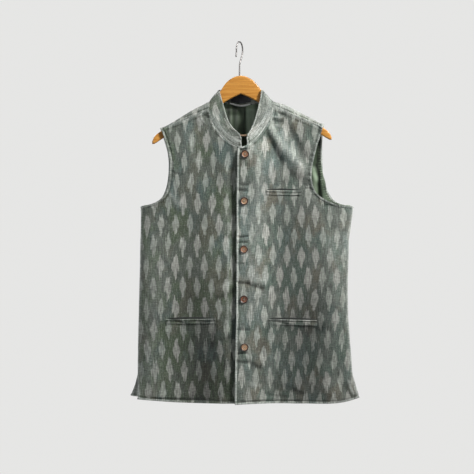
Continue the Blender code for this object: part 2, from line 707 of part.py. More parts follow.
def build_collar(jacket):
    """The stand collar, with the blank label on the inside of its back."""
    ends = 0.013 * np.array([0.0, 0.12, 0.4, 1.0])
    columns = np.concatenate([ends, np.linspace(0.013, 0.987, 45)[1:-1], 1.0 - ends[::-1]])
    start, end = COLLAR_TOP["along"][[0, -1]]
    for corner in (neck_points() - start) / (end - start):  # where the neckline turns
        columns[np.abs(columns - corner).argmin()] = corner
    band = collar_surface()
    surface = Surface.of(band, columns, np.linspace(0.0, 1.0, 5), collar_outward, SEAM)
    add_shell("collar", surface, COLLAR, IKAT, jacket)
    places = np.linspace(*LABEL_ACROSS, 9), np.linspace(*LABEL_UP, 4)
    patch = Surface.of(band, *places, collar_outward, -COLLAR)
    add_shell("neck_label", patch, LABEL_CLOTH, INK, jacket)


def build_label_tape(jacket):
    """The tape below the label, on the lining."""
    inwards = -(CLOTH + LINING_GAP + LINING + LINING_GAP)
    surface = Surface.of(back_surface, BACK_COLUMNS[TAPE_COLUMNS], TAPE_DOWN, towards(0, BACK, 0), inwards)
    add_shell("label_tape", surface, LABEL_CLOTH, WHITE, jacket)


def build_welts(jacket):
    """Each pocket's welt: a strip of its front's own points, moved out."""
    places = np.linspace(0.0, 1.0, 15), np.linspace(0.0, 1.0, 4)
    for name, (front, x0, z0, x1, z1, height) in WELTS.items():

        def at(across, down):
            return body_point(FRONT, x0 + (x1 - x0) * across, z0 + (z1 - z0) * across - height * down, front)

        surface = Surface.of(at, *places, towards(0, FRONT, 0), SEAM + WELT_CLOTH)
        add_shell(name, surface, WELT_CLOTH, IKAT, jacket)


def turned(profile, steps):
    """A body turned about Z from a closed profile of radius and height, from the axis back to the axis."""
    made = bmesh.new()
    points = [made.verts.new((radius, 0.0, height)) for radius, height in profile]
    edges = [made.edges.new(pair) for pair in zip(points, points[1:])]
    bmesh.ops.spin(made, geom=points + edges, axis=(0, 0, 1), angle=2 * math.pi, steps=steps, use_merge=True)
    bmesh.ops.remove_doubles(made, verts=made.verts, dist=1e-6)
    return made


def thread_holes():
    """Four pegs where a button's thread passes."""
    made = bmesh.new()
    for across in (-1, 1):
        for up in (-1, 1):
            place = (across * BUTTON_HOLE_PITCH, up * BUTTON_HOLE_PITCH, BUTTON_THICKNESS / 2)
            bmesh.ops.create_cone(
                made,
                cap_ends=True,
                segments=8,
                radius1=BUTTON_HOLE,
                radius2=BUTTON_HOLE,
                depth=3 * BUTTON_THICKNESS,
                matrix=Matrix.Translation(place),
            )
    return made


def build_buttons(jacket):
    """Round buttons with a raised rim and a dished face, standing on short thread shanks."""
    r, t = BUTTON_RADIUS, BUTTON_THICKNESS
    profile = (
        (0.0, 0.0),
        (0.72 * r, 0.0),
        (0.95 * r, 0.22 * t),
        (r, 0.52 * t),
        (0.96 * r, 0.86 * t),
        (0.87 * r, t),
        (0.78 * r, 0.96 * t),
        (BUTTON_DISH, 0.66 * t),
        (0.30 * r, 0.56 * t),
        (0.0, 0.56 * t),
    )
    near = 1e-4
    for number, (x, z) in enumerate(zip(*BUTTONS.values()), start=1):
        point = body_point(FRONT, x, z, 1)
        along = body_point(FRONT, x + BUTTON_RADIUS, z, 1) - body_point(FRONT, x - BUTTON_RADIUS, z, 1)
        below = body_point(FRONT, x, z - near, 1) - body_point(FRONT, x, z + near, 1)
        out = Vector(np.cross(below, along)).normalized()
        button = add_object(f"button_{number}", turned(profile, 24), SHELL, jacket)
        button.location = Vector(point) + BUTTON_SHANK * out
        button.rotation_euler = out.to_track_quat("Z", "Y").to_euler()
        holes = add_object(f"button_{number}_holes", thread_holes(), SHELL, button)
        holes.hide_render = True
        holes.display_type = "WIRE"
        cut = button.modifiers.new("holes", "BOOLEAN")
        cut.operation, cut.solver, cut.object = "DIFFERENCE", "EXACT", holes


def lofted(rings):
    """Rings of points joined one to the next, with both ends closed."""
    made = bmesh.new()
    rings = [[made.verts.new(point) for point in ring] for ring in rings]
    for lower, upper in zip(rings, rings[1:]):
        for i in range(len(lower)):
            made.faces.new([lower[i - 1], lower[i], upper[i], upper[i - 1]])
    made.faces.new(rings[0])
    made.faces.new(rings[-1])
    return made


def bar(path, radius, steps):
    """A round bar along a path of x, z points."""
    path = np.array([(x, 0.0, z) for x, z in path])
    sideways = np.cross(unit(np.gradient(path, axis=0)), [0.0, 1.0, 0.0])
    angles = np.arange(steps) * 2 * math.pi / steps
    return lofted(
        [[p + radius * (math.cos(a) * s + math.sin(a) * np.array([0.0, 1.0, 0.0])) for a in angles]
         for p, s in zip(path, sideways)]
    )


def build_hook(hanger):
    """The hanger's wire hook: a shank, a bend and most of a circle, whose inner top is the origin."""
    angles = np.radians(np.linspace(-38.0, 196.0, 27))
    centre = HOOK_WIRE / 2 - HOOK_RADIUS
    arc = np.stack([HOOK_RADIUS * np.cos(angles), centre + HOOK_RADIUS * np.sin(angles)], axis=-1)
    shank, tip = (np.stack([run["x"], run["z"]], axis=-1) for run in (HOOK_SHANK, HOOK_TIP))
    path = np.concatenate([shank, arc, tip])
    hook = add_object("hanger_hook", bar(path, HOOK_WIRE / 2, 10), STEEL, hanger)
    hook.rotation_euler.z = HOOK_TURN


def build_board(hanger):
    """The hanger's board: rounded upright sections from end to end, drawn forward towards the ends."""
    half = list(zip(*HANGER.values()))
    rings = []
    for x, top, bottom, thick in [(-reach, *rest) for reach, *rest in half[:0:-1]] + half:
        edge = min(HANGER_EDGE, 0.48 * thick, 0.48 * (top - bottom))
        forward = HANGER_CONTOUR * (x / HANGER_HALF) ** 2
        ring = []
        for quarter in range(4):
            y = (thick / 2 - edge) * (1 if quarter in (0, 3) else -1) - forward
            z = top - edge if quarter < 2 else bottom + edge
            for turn in (0, 30, 60, 90):
                a = math.radians(90 * quarter + turn)
                ring.append((x, y + edge * math.cos(a), z + edge * math.sin(a)))
        rings.append(ring)
    board = add_object("hanger_board", lofted(rings), WOOD, hanger)
    board.rotation_euler.y = -HANGER_TILT


def build_collar_hook(jacket):
    """The bar that holds the collar's ends together, behind them."""
    half = COLLAR_HOOK_WIDTH / 2
    path = [(half * share, 0.0004 * share**2) for share in np.linspace(-1.0, 1.0, 7)]
    fastener = add_object("collar_hook", bar(path, COLLAR_HOOK_BAR, 8), BRASS, jacket)
    fastener.location = COLLAR_HOOK_PLACE


def main():
    clear_scene()
    hanger = add_empty("hanger")
    build_board(hanger)
    build_hook(hanger)
    jacket = add_empty("jacket", hanger)
    build_back(jacket)
    build_lining(jacket)
    build_fronts(jacket)
    build_collar(jacket)
    build_label_tape(jacket)
    build_collar_hook(jacket)
    build_welts(jacket)
    build_buttons(jacket)


main()
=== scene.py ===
"""The looks of a sleeveless Nehru jacket, buttoned and hung on a contoured wooden hanger.

Metres, +Z up, the jacket facing -Y, the origin at the inner top of the hanger's hook. The wearer's right front is at
-X and the left one, which laps over it, at +X. Every cloth piece is a thin closed shell on one garment form.
"""

import logging
import math
from collections.abc import Sequence
from dataclasses import dataclass, field
from enum import Enum

import bpy
import numpy as np
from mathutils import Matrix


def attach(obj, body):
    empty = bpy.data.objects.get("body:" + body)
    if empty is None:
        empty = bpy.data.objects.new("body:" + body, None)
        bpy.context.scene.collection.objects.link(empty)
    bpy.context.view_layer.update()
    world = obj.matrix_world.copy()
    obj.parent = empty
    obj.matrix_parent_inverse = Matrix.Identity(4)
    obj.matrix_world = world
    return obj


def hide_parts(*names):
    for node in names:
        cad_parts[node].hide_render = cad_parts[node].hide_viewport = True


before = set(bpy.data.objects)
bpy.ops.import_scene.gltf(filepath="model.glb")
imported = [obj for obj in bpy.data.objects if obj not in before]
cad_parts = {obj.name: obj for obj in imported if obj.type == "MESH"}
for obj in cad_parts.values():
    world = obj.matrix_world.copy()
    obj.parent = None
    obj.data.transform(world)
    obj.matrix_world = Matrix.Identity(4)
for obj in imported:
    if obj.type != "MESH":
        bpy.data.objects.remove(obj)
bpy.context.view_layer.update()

log = logging.getLogger("jacket")

Array = np.ndarray
Table = dict[str, Array]
Socket = bpy.types.NodeSocket
Piece = bpy.types.Object


class Panel(Enum):
    """The three outer panels of the garment, by the sign of their front (0 is the back)."""

    RIGHT_FRONT = -1
    BACK = 0
    LEFT_FRONT = 1


class Side(Enum):
    """The two sides of the garment form, by the sign of their Y."""

    FRONT = -1.0
    BACK = 1.0


# ---------------------------------------------------------------------------------------------- working arrays


def table(columns: str, *rows: Sequence[float]) -> Table:
    """A short table as one array for each named column.

    Args:
        columns: the column names, parted by spaces.
        rows: one tuple of numbers for each row.

    Returns:
        The columns by name.
    """
    return dict(zip(columns.split(), np.array(rows, float).T))


def tenths(columns: str, *rows: Sequence[float]) -> Table:
    """A table of lengths in tenths of a millimetre, or of shares in ten-thousandths."""
    return {name: column / 10000.0 for name, column in table(columns, *rows).items()}


def table_field(columns: str, *rows: Sequence[float]) -> Table:
    """A dataclass field that holds a table."""
    return field(default_factory=lambda: table(columns, *rows))


def measured(columns: str, *rows: Sequence[float]) -> Table:
    """A dataclass field that holds a table in tenths, as tenths takes it."""
    return field(default_factory=lambda: tenths(columns, *rows))


def smoothstep(value: Array | float) -> Array:
    """Rises from 0 to 1 as 3t^2 - 2t^3, with t the value kept between 0 and 1."""
    t = np.clip(value, 0.0, 1.0)
    return t * t * (3.0 - 2.0 * t)


def bell(distance: Array | float, width: float) -> Array:
    """A Gaussian: e to the minus square of distance over width."""
    return np.exp(-((np.asarray(distance) / width) ** 2))


def unit(vectors: Array) -> Array:
    """The vectors of the last axis at length one."""
    return vectors / np.maximum(np.linalg.norm(vectors, axis=-1, keepdims=True), 1e-12)


def curve_through(keys: Array, values: Array, at: Array | float) -> Array:
    """A smooth curve through the values that never overshoots them, by cubic Hermite pieces.

    The slope at an inner key is the harmonic mean of the two slopes beside it, or 0 where they differ in sign.

    Args:
        keys: where the values stand, rising or falling.
        values: one value for each key.
        at: where the curve is read.

    Returns:
        The curve's values, held level beyond the ends.
    """
    if keys[0] > keys[-1]:
        keys, values = keys[::-1], values[::-1]
    step, rise = np.diff(keys), np.diff(values)
    slope = rise / step
    both = slope[:-1] + slope[1:]
    mean = 2.0 * slope[:-1] * slope[1:] / np.where(both == 0.0, 1.0, both)
    tangent = np.concatenate([slope[:1], np.where(slope[:-1] * slope[1:] > 0.0, mean, 0.0), slope[-1:]])
    at = np.clip(at, keys[0], keys[-1])
    i = np.clip(np.searchsorted(keys, at) - 1, 0, len(step) - 1)
    t = (at - keys[i]) / step[i]
    return (
        (1 + 2 * t) * (1 - t) ** 2 * values[i]
        + t * (1 - t) ** 2 * step[i] * tangent[i]
        + t * t * (3 - 2 * t) * values[i + 1]
        + t * t * (t - 1) * step[i] * tangent[i + 1]
    )


def row_curve(rows: Table, column: str, at: Array) -> Array:
    """A column of a row table, read from 0, its first row, to 1, its last."""
    return curve_through(np.linspace(0.0, 1.0, len(rows[column])), rows[column], at)


def places_down(between: Sequence[int], first: Sequence[float], last: Sequence[float]) -> Array:
    """Places down a panel: its table's rows, evenly parted, with fine steps by its two ends.

    Args:
        between: the number of spaces between each row of the panel's table and the next.
        first: extra places, from the top end.
        last: extra places, back from the bottom end.

    Returns:
        The places from 0 to 1.
    """
    marks = np.linspace(0.0, 1.0, len(between) + 1)
    runs = [np.linspace(a, b, n + 1)[:-1] for a, b, n in zip(marks, marks[1:], between)]
    return np.unique(np.concatenate([*runs, [1.0], first, 1.0 - np.array(last)]))


def ripples(x: Array, z: Array, seed: int, longest: float, height: float, count: int = 9) -> Array:
    """Slow uneven waves: a sum of sines of seeded directions, lengths and phases, over two coordinates.

    Args:
        x: the first coordinate.
        z: the second one.
        seed: seeds the waves.
        longest: the longest wave; the shortest is a third of it.
        height: about the greatest height of the sum.
        count: how many waves are added.

    Returns:
        The heights.
    """
    draw = np.random.default_rng(seed)
    angle, phase = draw.uniform(0.0, math.tau, (2, count))
    pitch = math.tau / (longest * draw.uniform(0.33, 1.0, count))
    total = sum(np.sin(k * (x * math.cos(a) + z * math.sin(a)) + p) for a, p, k in zip(angle, phase, pitch))
    return height * total / math.sqrt(2.0 * count)


def distance_to(points: Array, line: Array) -> tuple[Array, Array]:
    """How far each point is from the nearest point of a line.

    Worked out as |p|^2 + |q|^2 - 2 p.q for all pairs, a block of points at a time.

    Args:
        points: the points, n by 3.
        line: the line's points, m by 3.

    Returns:
        The distances, and the index in the line of each one's nearest point.
    """
    far, nearest = np.empty(len(points)), np.empty(len(points), int)
    square = (line**2).sum(axis=1)
    for start in range(0, len(points), 4000):
        block = points[start : start + 4000]
        gap = (block**2).sum(axis=1)[:, None] + square - 2.0 * block @ line.T
        nearest[start : start + 4000] = i = gap.argmin(axis=1)
        far[start : start + 4000] = np.sqrt(np.maximum(gap[np.arange(len(block)), i], 0.0))
    return far, nearest


def count_above(line: Array, level: float) -> int:
    """How many points of a line that runs downwards lie above a level."""
    return int(np.searchsorted(-line[:, 2], -level))


def run_length(points: Array) -> Array:
    """The length along a line of points up to each of them."""
    return np.concatenate([[0.0], np.cumsum(np.linalg.norm(np.diff(points, axis=0), axis=1))])


def read_along(points: Array, values: Array, at: Array) -> Array:
    """The rows of values, which stand at the line's points, read at lengths along it."""
    along = run_length(points)
    return np.stack([np.interp(at, along, values[:, i]) for i in range(values.shape[1])], axis=-1)


# ---------------------------------------------------------------------------------------------- meshes


def grid_quads(rows: int, columns: int, around: bool = False) -> tuple[Array, Array]:
    """Numbers a grid's points and joins them.

    Args:
        rows: how many rows of points.
        columns: how many points in each.
        around: whether each row's last point joins its first.

    Returns:
        The point numbers, rows by columns, and the quads' corners.
    """
    index = np.arange(rows * columns).reshape(rows, columns)
    if around:
        index = np.concatenate([index, index[:, :1]], axis=1)
    low, high = index[:-1], index[1:]
    return index, np.stack([low[:, :-1], low[:, 1:], high[:, 1:], high[:, :-1]], axis=-1).reshape(-1, 4)


@dataclass
class Surface:
    """Points joined by quads, with a cloth coordinate for each point."""

    points: Array
    quads: Array
    cloth: Array

    @classmethod
    def grid(cls, points: Array, cloth: Array, outward: Sequence[float] | Array, around: bool = False) -> "Surface":
        """A surface of a grid of points, turned so that its normals lie along outward.

        Args:
            points: rows by columns by 3.
            cloth: rows by columns by 2, or by 3 with its worn value: worn edges, painted highlight and painted shade.
            outward: any direction on the outer side, for the whole grid or for each point.
            around: whether each row's last point joins its first.

        Returns:
            The surface.
        """
        _, quads = grid_quads(*points.shape[:2], around)
        made = cls(points.reshape(-1, 3), quads, cloth.reshape(-1, cloth.shape[-1]))
        if (made.normals() * np.broadcast_to(outward, points.shape).reshape(-1, 3)).sum() < 0.0:
            made.quads = quads[:, ::-1]
        return made

    def normals(self) -> Array:
        """Each point's normal: the sum of the cross products of its quads' diagonals, at length one."""
        a, b, c, d = (self.points[self.quads[:, i]] for i in range(4))
        face = np.cross(c - a, d - b)
        total = np.stack(
            [np.bincount(self.quads.ravel(), np.repeat(face[:, i], 4), len(self.points)) for i in range(3)], axis=-1
        )
        return unit(total)

    def joined(self, other: "Surface") -> "Surface":
        """Both surfaces as one, sharing the points that coincide."""
        points = np.concatenate([self.points, other.points])
        quads = np.concatenate([self.quads, other.quads + len(self.points)])
        cloth = np.concatenate([self.cloth, other.cloth])
        _, first, index = np.unique(np.round(points, 6), axis=0, return_index=True, return_inverse=True)
        return Surface(points[first], index.reshape(-1)[quads], cloth[first])

    def rim(self) -> Array:
        """The points on free edges, which belong to one quad only."""
        ends = np.sort(np.stack([self.quads, np.roll(self.quads, -1, axis=1)], axis=-1).reshape(-1, 2), axis=1)
        edges, uses = np.unique(ends, axis=0, return_counts=True)
        return np.unique(edges[uses == 1])

    def lifted(self, height: Array) -> "Surface":
        """The surface with each point moved out along its normal."""
        return Surface(self.points + self.normals() * height[:, None], self.quads, self.cloth)


@dataclass
class Faces:
    """Faces of one corner count for a mesh, and the material slot they take."""

    corners: Array
    slot: int = 0


def add_mesh(name: str, points: Array, faces: Sequence[Faces], cloth: Array | None = None) -> Piece:
    """A smooth-shaded object from arrays, at the origin.

    Args:
        name: the object's name.
        points: the points, n by 3.
        faces: the faces, in blocks of one corner count.
        cloth: a UV coordinate for each point and, as a third value, its worn value (worn edges, painted highlight and
            painted shade), or None.

    Returns:
        The object, linked to the scene.
    """
    mesh = bpy.data.meshes.new(name)
    corners = np.concatenate([block.corners.ravel() for block in faces]).astype(np.int32)
    counts = np.concatenate([np.full(len(block.corners), block.corners.shape[1]) for block in faces])
    mesh.vertices.add(len(points))
    mesh.vertices.foreach_set("co", np.asarray(points, np.float32).ravel())
    mesh.loops.add(len(corners))
    mesh.loops.foreach_set("vertex_index", corners)
    mesh.polygons.add(len(counts))
    mesh.polygons.foreach_set("loop_start", (np.cumsum(counts) - counts).astype(np.int32))
    slots = np.concatenate([np.full(len(block.corners), block.slot) for block in faces])
    mesh.polygons.foreach_set("material_index", slots.astype(np.int32))
    mesh.polygons.foreach_set("use_smooth", np.ones(len(counts), bool))
    if cloth is not None:
        layer = mesh.uv_layers.new(name="cloth")
        layer.uv.foreach_set("vector", np.asarray(cloth[:, :2], np.float32)[corners].ravel())
        if cloth.shape[1] == 3:
            worn = mesh.attributes.new("worn", "FLOAT", "POINT")
            worn.data.foreach_set("value", np.asarray(cloth[:, 2], np.float32))
    mesh.update(calc_edges=True)
    mesh.validate(clean_customdata=False)
    made = bpy.data.objects.new(name, mesh)
    bpy.context.scene.collection.objects.link(made)
    return made


def shell_arrays(surface: Surface, thickness: float) -> tuple[Array, Array, Array, Array]:
    """A closed wall of cloth with rounded rims.

    Both faces run together in the rim's points. At a distance d from the rim they have parted by the share
    sqrt(1 - (1 - d/r)^2) of the thickness, with r half of it, so the edge is a half round.

    Args:
        surface: the outer face.
        thickness: how far the inner face lies inside it.

    Returns:
        The points, the outer quads, the inner quads, and a cloth coordinate for each point.
    """
    rim = surface.rim()
    half = thickness / 2
    away, _ = distance_to(surface.points, surface.points[rim])
    away[rim] = 0.0
    parted = np.sqrt(1.0 - (1.0 - np.minimum(away / half, 1.0)) ** 2)[:, None]
    normals = surface.normals()
    outer = surface.points - normals * half * (1.0 - parted)
    inner = surface.points - normals * half * (1.0 + parted)
    own = np.ones(len(outer), bool)
    own[rim] = False
    partner = np.arange(len(outer))
    partner[own] = len(outer) + np.arange(own.sum())
    points = np.concatenate([outer, inner[own]])
    cloth = np.concatenate([surface.cloth, surface.cloth[own]])
    return points, surface.quads, partner[surface.quads][:, ::-1], cloth


def add_shell(name: str, surface: Surface, thickness: float, inner_slot: int = 0) -> Piece:
    """An object of one closed wall of cloth, its inner face in a material slot of its own."""
    points, outer, inner, cloth = shell_arrays(surface, thickness)
    return add_mesh(name, points, [Faces(outer), Faces(inner, inner_slot)], cloth)


def merged_arrays(shells: Sequence[tuple[Array, Array, Array, Array, int]]) -> tuple[Array, list[Faces], Array]:
    """Several closed walls as one mesh's points, faces and cloth coordinates, each with its own slot."""
    total, blocks = 0, []
    for points, outer, inner, _, slot in shells:
        blocks += [Faces(outer + total, slot), Faces(inner + total, slot)]
        total += len(points)
    return np.concatenate([s[0] for s in shells]), blocks, np.concatenate([s[3] for s in shells])


def capped_rings(rings: Array, poles: Array) -> tuple[Array, list[Faces]]:
    """Rings of points joined in order, with a fan at each end round its pole.

    Args:
        rings: rings by points by 3.
        poles: the middles of the first and the last ring.

    Returns:
        The points and faces.
    """
    index, quads = grid_quads(*rings.shape[:2], around=True)
    first = np.full(rings.shape[1], rings[..., 0].size)
    start = np.stack([first, index[0, 1:], index[0, :-1]], axis=-1)
    end = np.stack([first + 1, index[-1, :-1], index[-1, 1:]], axis=-1)
    return np.concatenate([rings.reshape(-1, 3), poles]), [Faces(quads), Faces(np.concatenate([start, end]))]


def sweep(
    path: Array, radius: Array | float, sides: int, up: Sequence[float] = (0.0, 0.0, 1.0)
) -> tuple[Array, list[Faces]]:
    """A closed round bar along a path: circles square to the path, with a fan at each end.

    Args:
        path: the middle line, n by 3.
        radius: of the bar, one for all or one for each point.
        sides: points in each circle.
        up: a direction that the path never follows.

    Returns:
        The points and faces.
    """
    along = unit(np.gradient(path, axis=0))
    sideways = unit(np.cross(along, up))
    upwards = np.cross(along, sideways)
    turn = np.arange(sides) * math.tau / sides
    ring = np.cos(turn)[:, None] * sideways[:, None] + np.sin(turn)[:, None] * upwards[:, None]
    rings = path[:, None] + np.broadcast_to(radius, len(path))[:, None, None] * ring
    return capped_rings(rings, path[[0, -1]])


# ---------------------------------------------------------------------------------------------- the garment's form

FRONT_BETWEEN = (6,) * 16 + (26, 38, 50, 40, 25, 25)
BACK_BETWEEN = (6,) * 12 + (20, 28, 38, 32, 22, 14)
FORWARDS, BACKWARDS = (0.0, -1.0, 0.0), (0.0, 1.0, 0.0)  # the way that a front and the back face
EDGE_TOP, ARM_END = -0.2560, -0.4015  # the level where a front's edge starts, and where an armhole ends
STEP_IN = (0.0004, 0.0014, 0.003, 0.0055, 0.009)  # shares of a width, by a rim


@dataclass
class GarmentForm:
    """The one form on which all the cloth lies: the hanger's ridge, with a front and a back hanging from it."""

    seam: float = 0.0004  # between the front and the back at the sides
    ridge_radius: float = 0.0115
    neck_front: float = -0.262
    neck_front_bump: tuple[float, ...] = (0.012, -0.25, 0.075, 0.09, 0.024)  # as bump takes it
    neck_back_bump: tuple[float, ...] = (0.004, -0.15, 0.07, 0.08, 0.016)
    front_depth: float = 0.03
    back_depth: float = 0.026
    depth_growth: float = 0.2  # the fall over which the form reaches its full depth
    contour: float = 0.01  # how far the shoulders curve forwards by the reach below
    contour_half: float = 0.22
    underarm: float = -0.402
    vent_top: float = -0.805
    hem: float = -0.887
    closing_top: float = -0.2  # where the sides start to close
    side_power: float = 3.0  # how full the form is beside them
    straight_by: float = 0.62  # the place down by which the back's rows are straight
    full_by: float = 0.3  # and by which they have drawn in from the ridge's tips
    parted_fall: float = 0.03  # how far below the ridge both sides have fully parted
    neck_fall: float = 0.06  # over which the laps below the neckline grow
    vent_flatness: float = 0.55  # how much of its depth the form has lost at the sides by the hem
    under_lap: tuple[float, ...] = (0.0026, 0.0045, -0.05, 0.036)  # depth, more below the neck, start, run
    over_lap: tuple[float, ...] = (0.002, -0.01, 0.014)  # the left front's rise, its start, and its run
    ridge: Table = measured(
        "x z", (-2900, -2620), (-1920, -2115), (-1550, -1896), (-1160, -1660), (-900, -1530), (-750, -1460),
        (0, -1300), (830, -1455), (1120, -1535), (1340, -1645), (1830, -1896), (2060, -2025), (3100, -2570),
    )
    sides: Table = measured(
        "z left_front left_back right_front right_back", (-4020, -2410, -2410, 2785, 2785),
        (-4550, -2418, -2418, 2722, 2722), (-4920, -2422, -2422, 2672, 2672), (-5450, -2426, -2426, 2658, 2658),
        (-6060, -2445, -2445, 2648, 2648), (-6670, -2458, -2458, 2662, 2662), (-7160, -2470, -2470, 2695, 2695),
        (-7650, -2480, -2480, 2732, 2732), (-8050, -2484, -2484, 2762, 2762), (-8350, -2487, -2547, 2838, 2800),
        (-8870, -2490, -2790, 2990, 2870),
    )
    right_front: Table = measured(
        "in_x in_z out_x out_z", (-750, -1670, -1930, -2140), (-725, -1760, -1895, -2210),
        (-690, -1880, -1850, -2320), (-647, -2000, -1808, -2450), (-554, -2160, -1768, -2580),
        (-404, -2337, -1735, -2710), (-216, -2480, -1712, -2860), (-40, -2550, -1703, -3000),
        (140, -2575, -1704, -3130), (310, -2590, -1715, -3260), (310, -2870, -1735, -3410),
        (310, -3130, -1765, -3570), (310, -3380, -1830, -3730), (310, -3570, -1948, -3847),
        (310, -3740, -2095, -3930), (310, -3880, -2262, -3982), (310, -4000, -2410, -4020),
        (305, -4550, -2420, -4580), (300, -5450, -2426, -5450), (290, -6670, -2458, -6670),
        (280, -7650, -2480, -7650), (270, -8250, -2486, -8200), (260, -8840, -2490, -8740),
    )
    left_front: Table = measured(
        "in_x in_z out_x out_z", (840, -1600, 2034, -2117), (813, -1700, 2000, -2210), (775, -1810, 1968, -2330),
        (703, -1950, 1925, -2460), (610, -2110, 1885, -2600), (478, -2290, 1850, -2740), (348, -2413, 1812, -2890),
        (196, -2510, 1783, -3030), (75, -2560, 1763, -3160), (-45, -2605, 1762, -3290), (-58, -2900, 1780, -3440),
        (-64, -3160, 1822, -3580), (-67, -3400, 1895, -3700), (-70, -3600, 2010, -3800), (-72, -3760, 2200, -3895),
        (-73, -3890, 2440, -3980), (-74, -4000, 2785, -4020), (-75, -4550, 2715, -4580), (-76, -5450, 2658, -5450),
        (-84, -6670, 2662, -6670), (-104, -7650, 2732, -7650), (-112, -8250, 2812, -8250), (-118, -8868, 2947, -8693),
    )
    back: Table = measured(
        "left_x left_z right_x right_z", (-1935, -2123, 2060, -2025), (-1865, -2340, 2035, -2340),
        (-1800, -2560, 2027, -2560), (-1755, -2780, 2030, -2780), (-1735, -3000, 2040, -3000),
        (-1740, -3220, 2055, -3220), (-1770, -3460, 2100, -3460), (-1830, -3660, 2185, -3660),
        (-1920, -3810, 2265, -3790), (-2060, -3905, 2345, -3875), (-2180, -3960, 2470, -3945),
        (-2295, -3995, 2620, -3988), (-2410, -4020, 2785, -4020), (-2418, -4550, 2722, -4550),
        (-2426, -5450, 2658, -5450), (-2458, -6670, 2662, -6670), (-2480, -7650, 2732, -7650),
        (-2530, -8250, 2790, -8250), (-2680, -8640, 2850, -8700),
    )
    back_neck: Table = measured(
        "x drop", (-750, 0), (-700, 20), (-500, 65), (-260, 140), (40, 215), (340, 140), (580, 65), (780, 20),
        (830, 0),
    )
    hems: Table = table_field(
        "panel bow skew blunt", (-1, 0.0035, 1.0, 1.0), (0, 0.009, 1.0, 0.35), (1, 0.0105, 2.8, 1.0),
    )
    folds: dict[Panel, Table] = field(
        default_factory=lambda: {
            Panel.LEFT_FRONT: tenths(
                "x0 z0 x1 z1 width height",
                (720, -2180, 1050, -2700, 150, 50), (1050, -2700, 1560, -3300, 170, 55),
                (2100, -7700, 2650, -8700, 200, -40), (300, -8300, 1500, -8700, 180, -30),
            ),
            Panel.RIGHT_FRONT: tenths("x0 z0 x1 z1 width height", (-380, -2900, -300, -8400, 160, 30)),
        }
    )

    def ridge_height(self, x: Array) -> Array:
        """The height of the shoulders' top line."""
        return curve_through(self.ridge["x"], self.ridge["z"], x)

    def rows(self, panel: Panel) -> Table:
        """A front's table of rows."""
        return self.left_front if panel is Panel.LEFT_FRONT else self.right_front

    def fold_height(self, panel: Panel, x: Array, z: Array) -> Array:
        """How far the large folds lift a front: a bell across each fold, faded at its ends.

        Args:
            panel: the front.
            x, z: the points' X and Z.

        Returns:
            The heights.
        """
        lift = np.zeros(np.broadcast(x, z).shape)
        for x0, z0, x1, z1, width, height in zip(*self.folds[panel].values()):
            along, across, length = run_places(x, z, x0, z0, x1, z1)
            ends = smoothstep((along + width) / (2 * width)) * smoothstep((length + width - along) / (2 * width))
            lift += height * ends * bell(across, width)
        return lift

    def bump(self, x: Array, z: Array, form: tuple[float, ...]) -> Array:
        """A round swell: depth times a bell in X and one in Z, from (middle x, middle z, width, height, depth)."""
        middle_x, middle_z, width, height, depth = form
        return depth * bell(x - middle_x, width) * bell(z - middle_z, height)

    def point(self, side: Side, x: Array, z: Array, panel: Panel = Panel.BACK) -> Array:
        """The garment's outer surface on one side of the ridge, over the point x, z of the front view.

        The depth is a quarter round of the ridge's radius that grows by a smoothstep of the fall below the ridge to
        the body's depth. It closes towards the side seams by sqrt(1 - s^3), s the share of the half width, but keeps
        its depth at the shoulders and below the vents.

        Args:
            side: the front or the back of the form.
            x, z: the points' X and Z.
            panel: the front whose folds and lap the form takes.

        Returns:
            The points.
        """
        names = ("left_front", "right_front") if side is Side.FRONT else ("left_back", "right_back")
        left, right = (curve_through(self.sides["z"], self.sides[name], z) for name in names)
        share = np.clip(np.abs((x - (left + right) / 2) / ((right - left) / 2)), 0.0, 1.0)
        drop = np.maximum(self.ridge_height(x) - z, 0.0)
        radius = self.ridge_radius
        turn = radius * np.sqrt(1.0 - (1.0 - np.minimum(drop / radius, 1.0)) ** 2)
        full = self.front_depth if side is Side.FRONT else self.back_depth
        depth = turn + (full - radius) * smoothstep(drop / self.depth_growth)
        parted = smoothstep((self.vent_top - z) / (self.vent_top - self.hem))
        lowered = smoothstep((self.closing_top - z) / (self.closing_top - self.underarm))
        closing = 1.0 + (np.sqrt(1.0 - share**self.side_power) - 1.0) * lowered
        depth = depth * (closing + (1.0 - self.vent_flatness * share**4 - closing) * parted)
        off_ridge = smoothstep(drop / self.parted_fall)
        below_neck = smoothstep((self.neck_front - z) / self.neck_fall)
        if side is Side.FRONT:
            depth = depth + self.bump(x, z, self.neck_front_bump) * off_ridge + self.fold_height(panel, x, z)
            if panel is Panel.RIGHT_FRONT:
                sunk, more, start, run = self.under_lap
                depth = depth - (sunk + more * below_neck) * smoothstep((x - start) / run)
            else:
                rise, start, run = self.over_lap
                depth = depth + rise * np.exp(-np.maximum(x - start, 0.0) / run) * below_neck
        else:
            depth = depth + self.bump(x, z, self.neck_back_bump) * off_ridge
        forward = self.contour * (x / self.contour_half) ** 2 * (1.0 - lowered)
        y = side.value * (depth + self.seam / 2 * off_ridge) - forward
        return np.stack(np.broadcast_arrays(x, y, z), axis=-1)

    def hem_drop(self, panel: Panel, share: Array, down: Array) -> Array:
        """How far a panel's cloth hangs below the line between its lower corners: bow * sin(pi share^skew)^blunt."""
        row = list(self.hems["panel"]).index(panel.value)
        bow, skew, blunt = (self.hems[name][row] for name in ("bow", "skew", "blunt"))
        wave = np.maximum(np.sin(np.clip(share, 0.0, 1.0) ** skew * math.pi), 0.0)
        return bow * smoothstep((down - 0.85) / 0.15) * wave**blunt

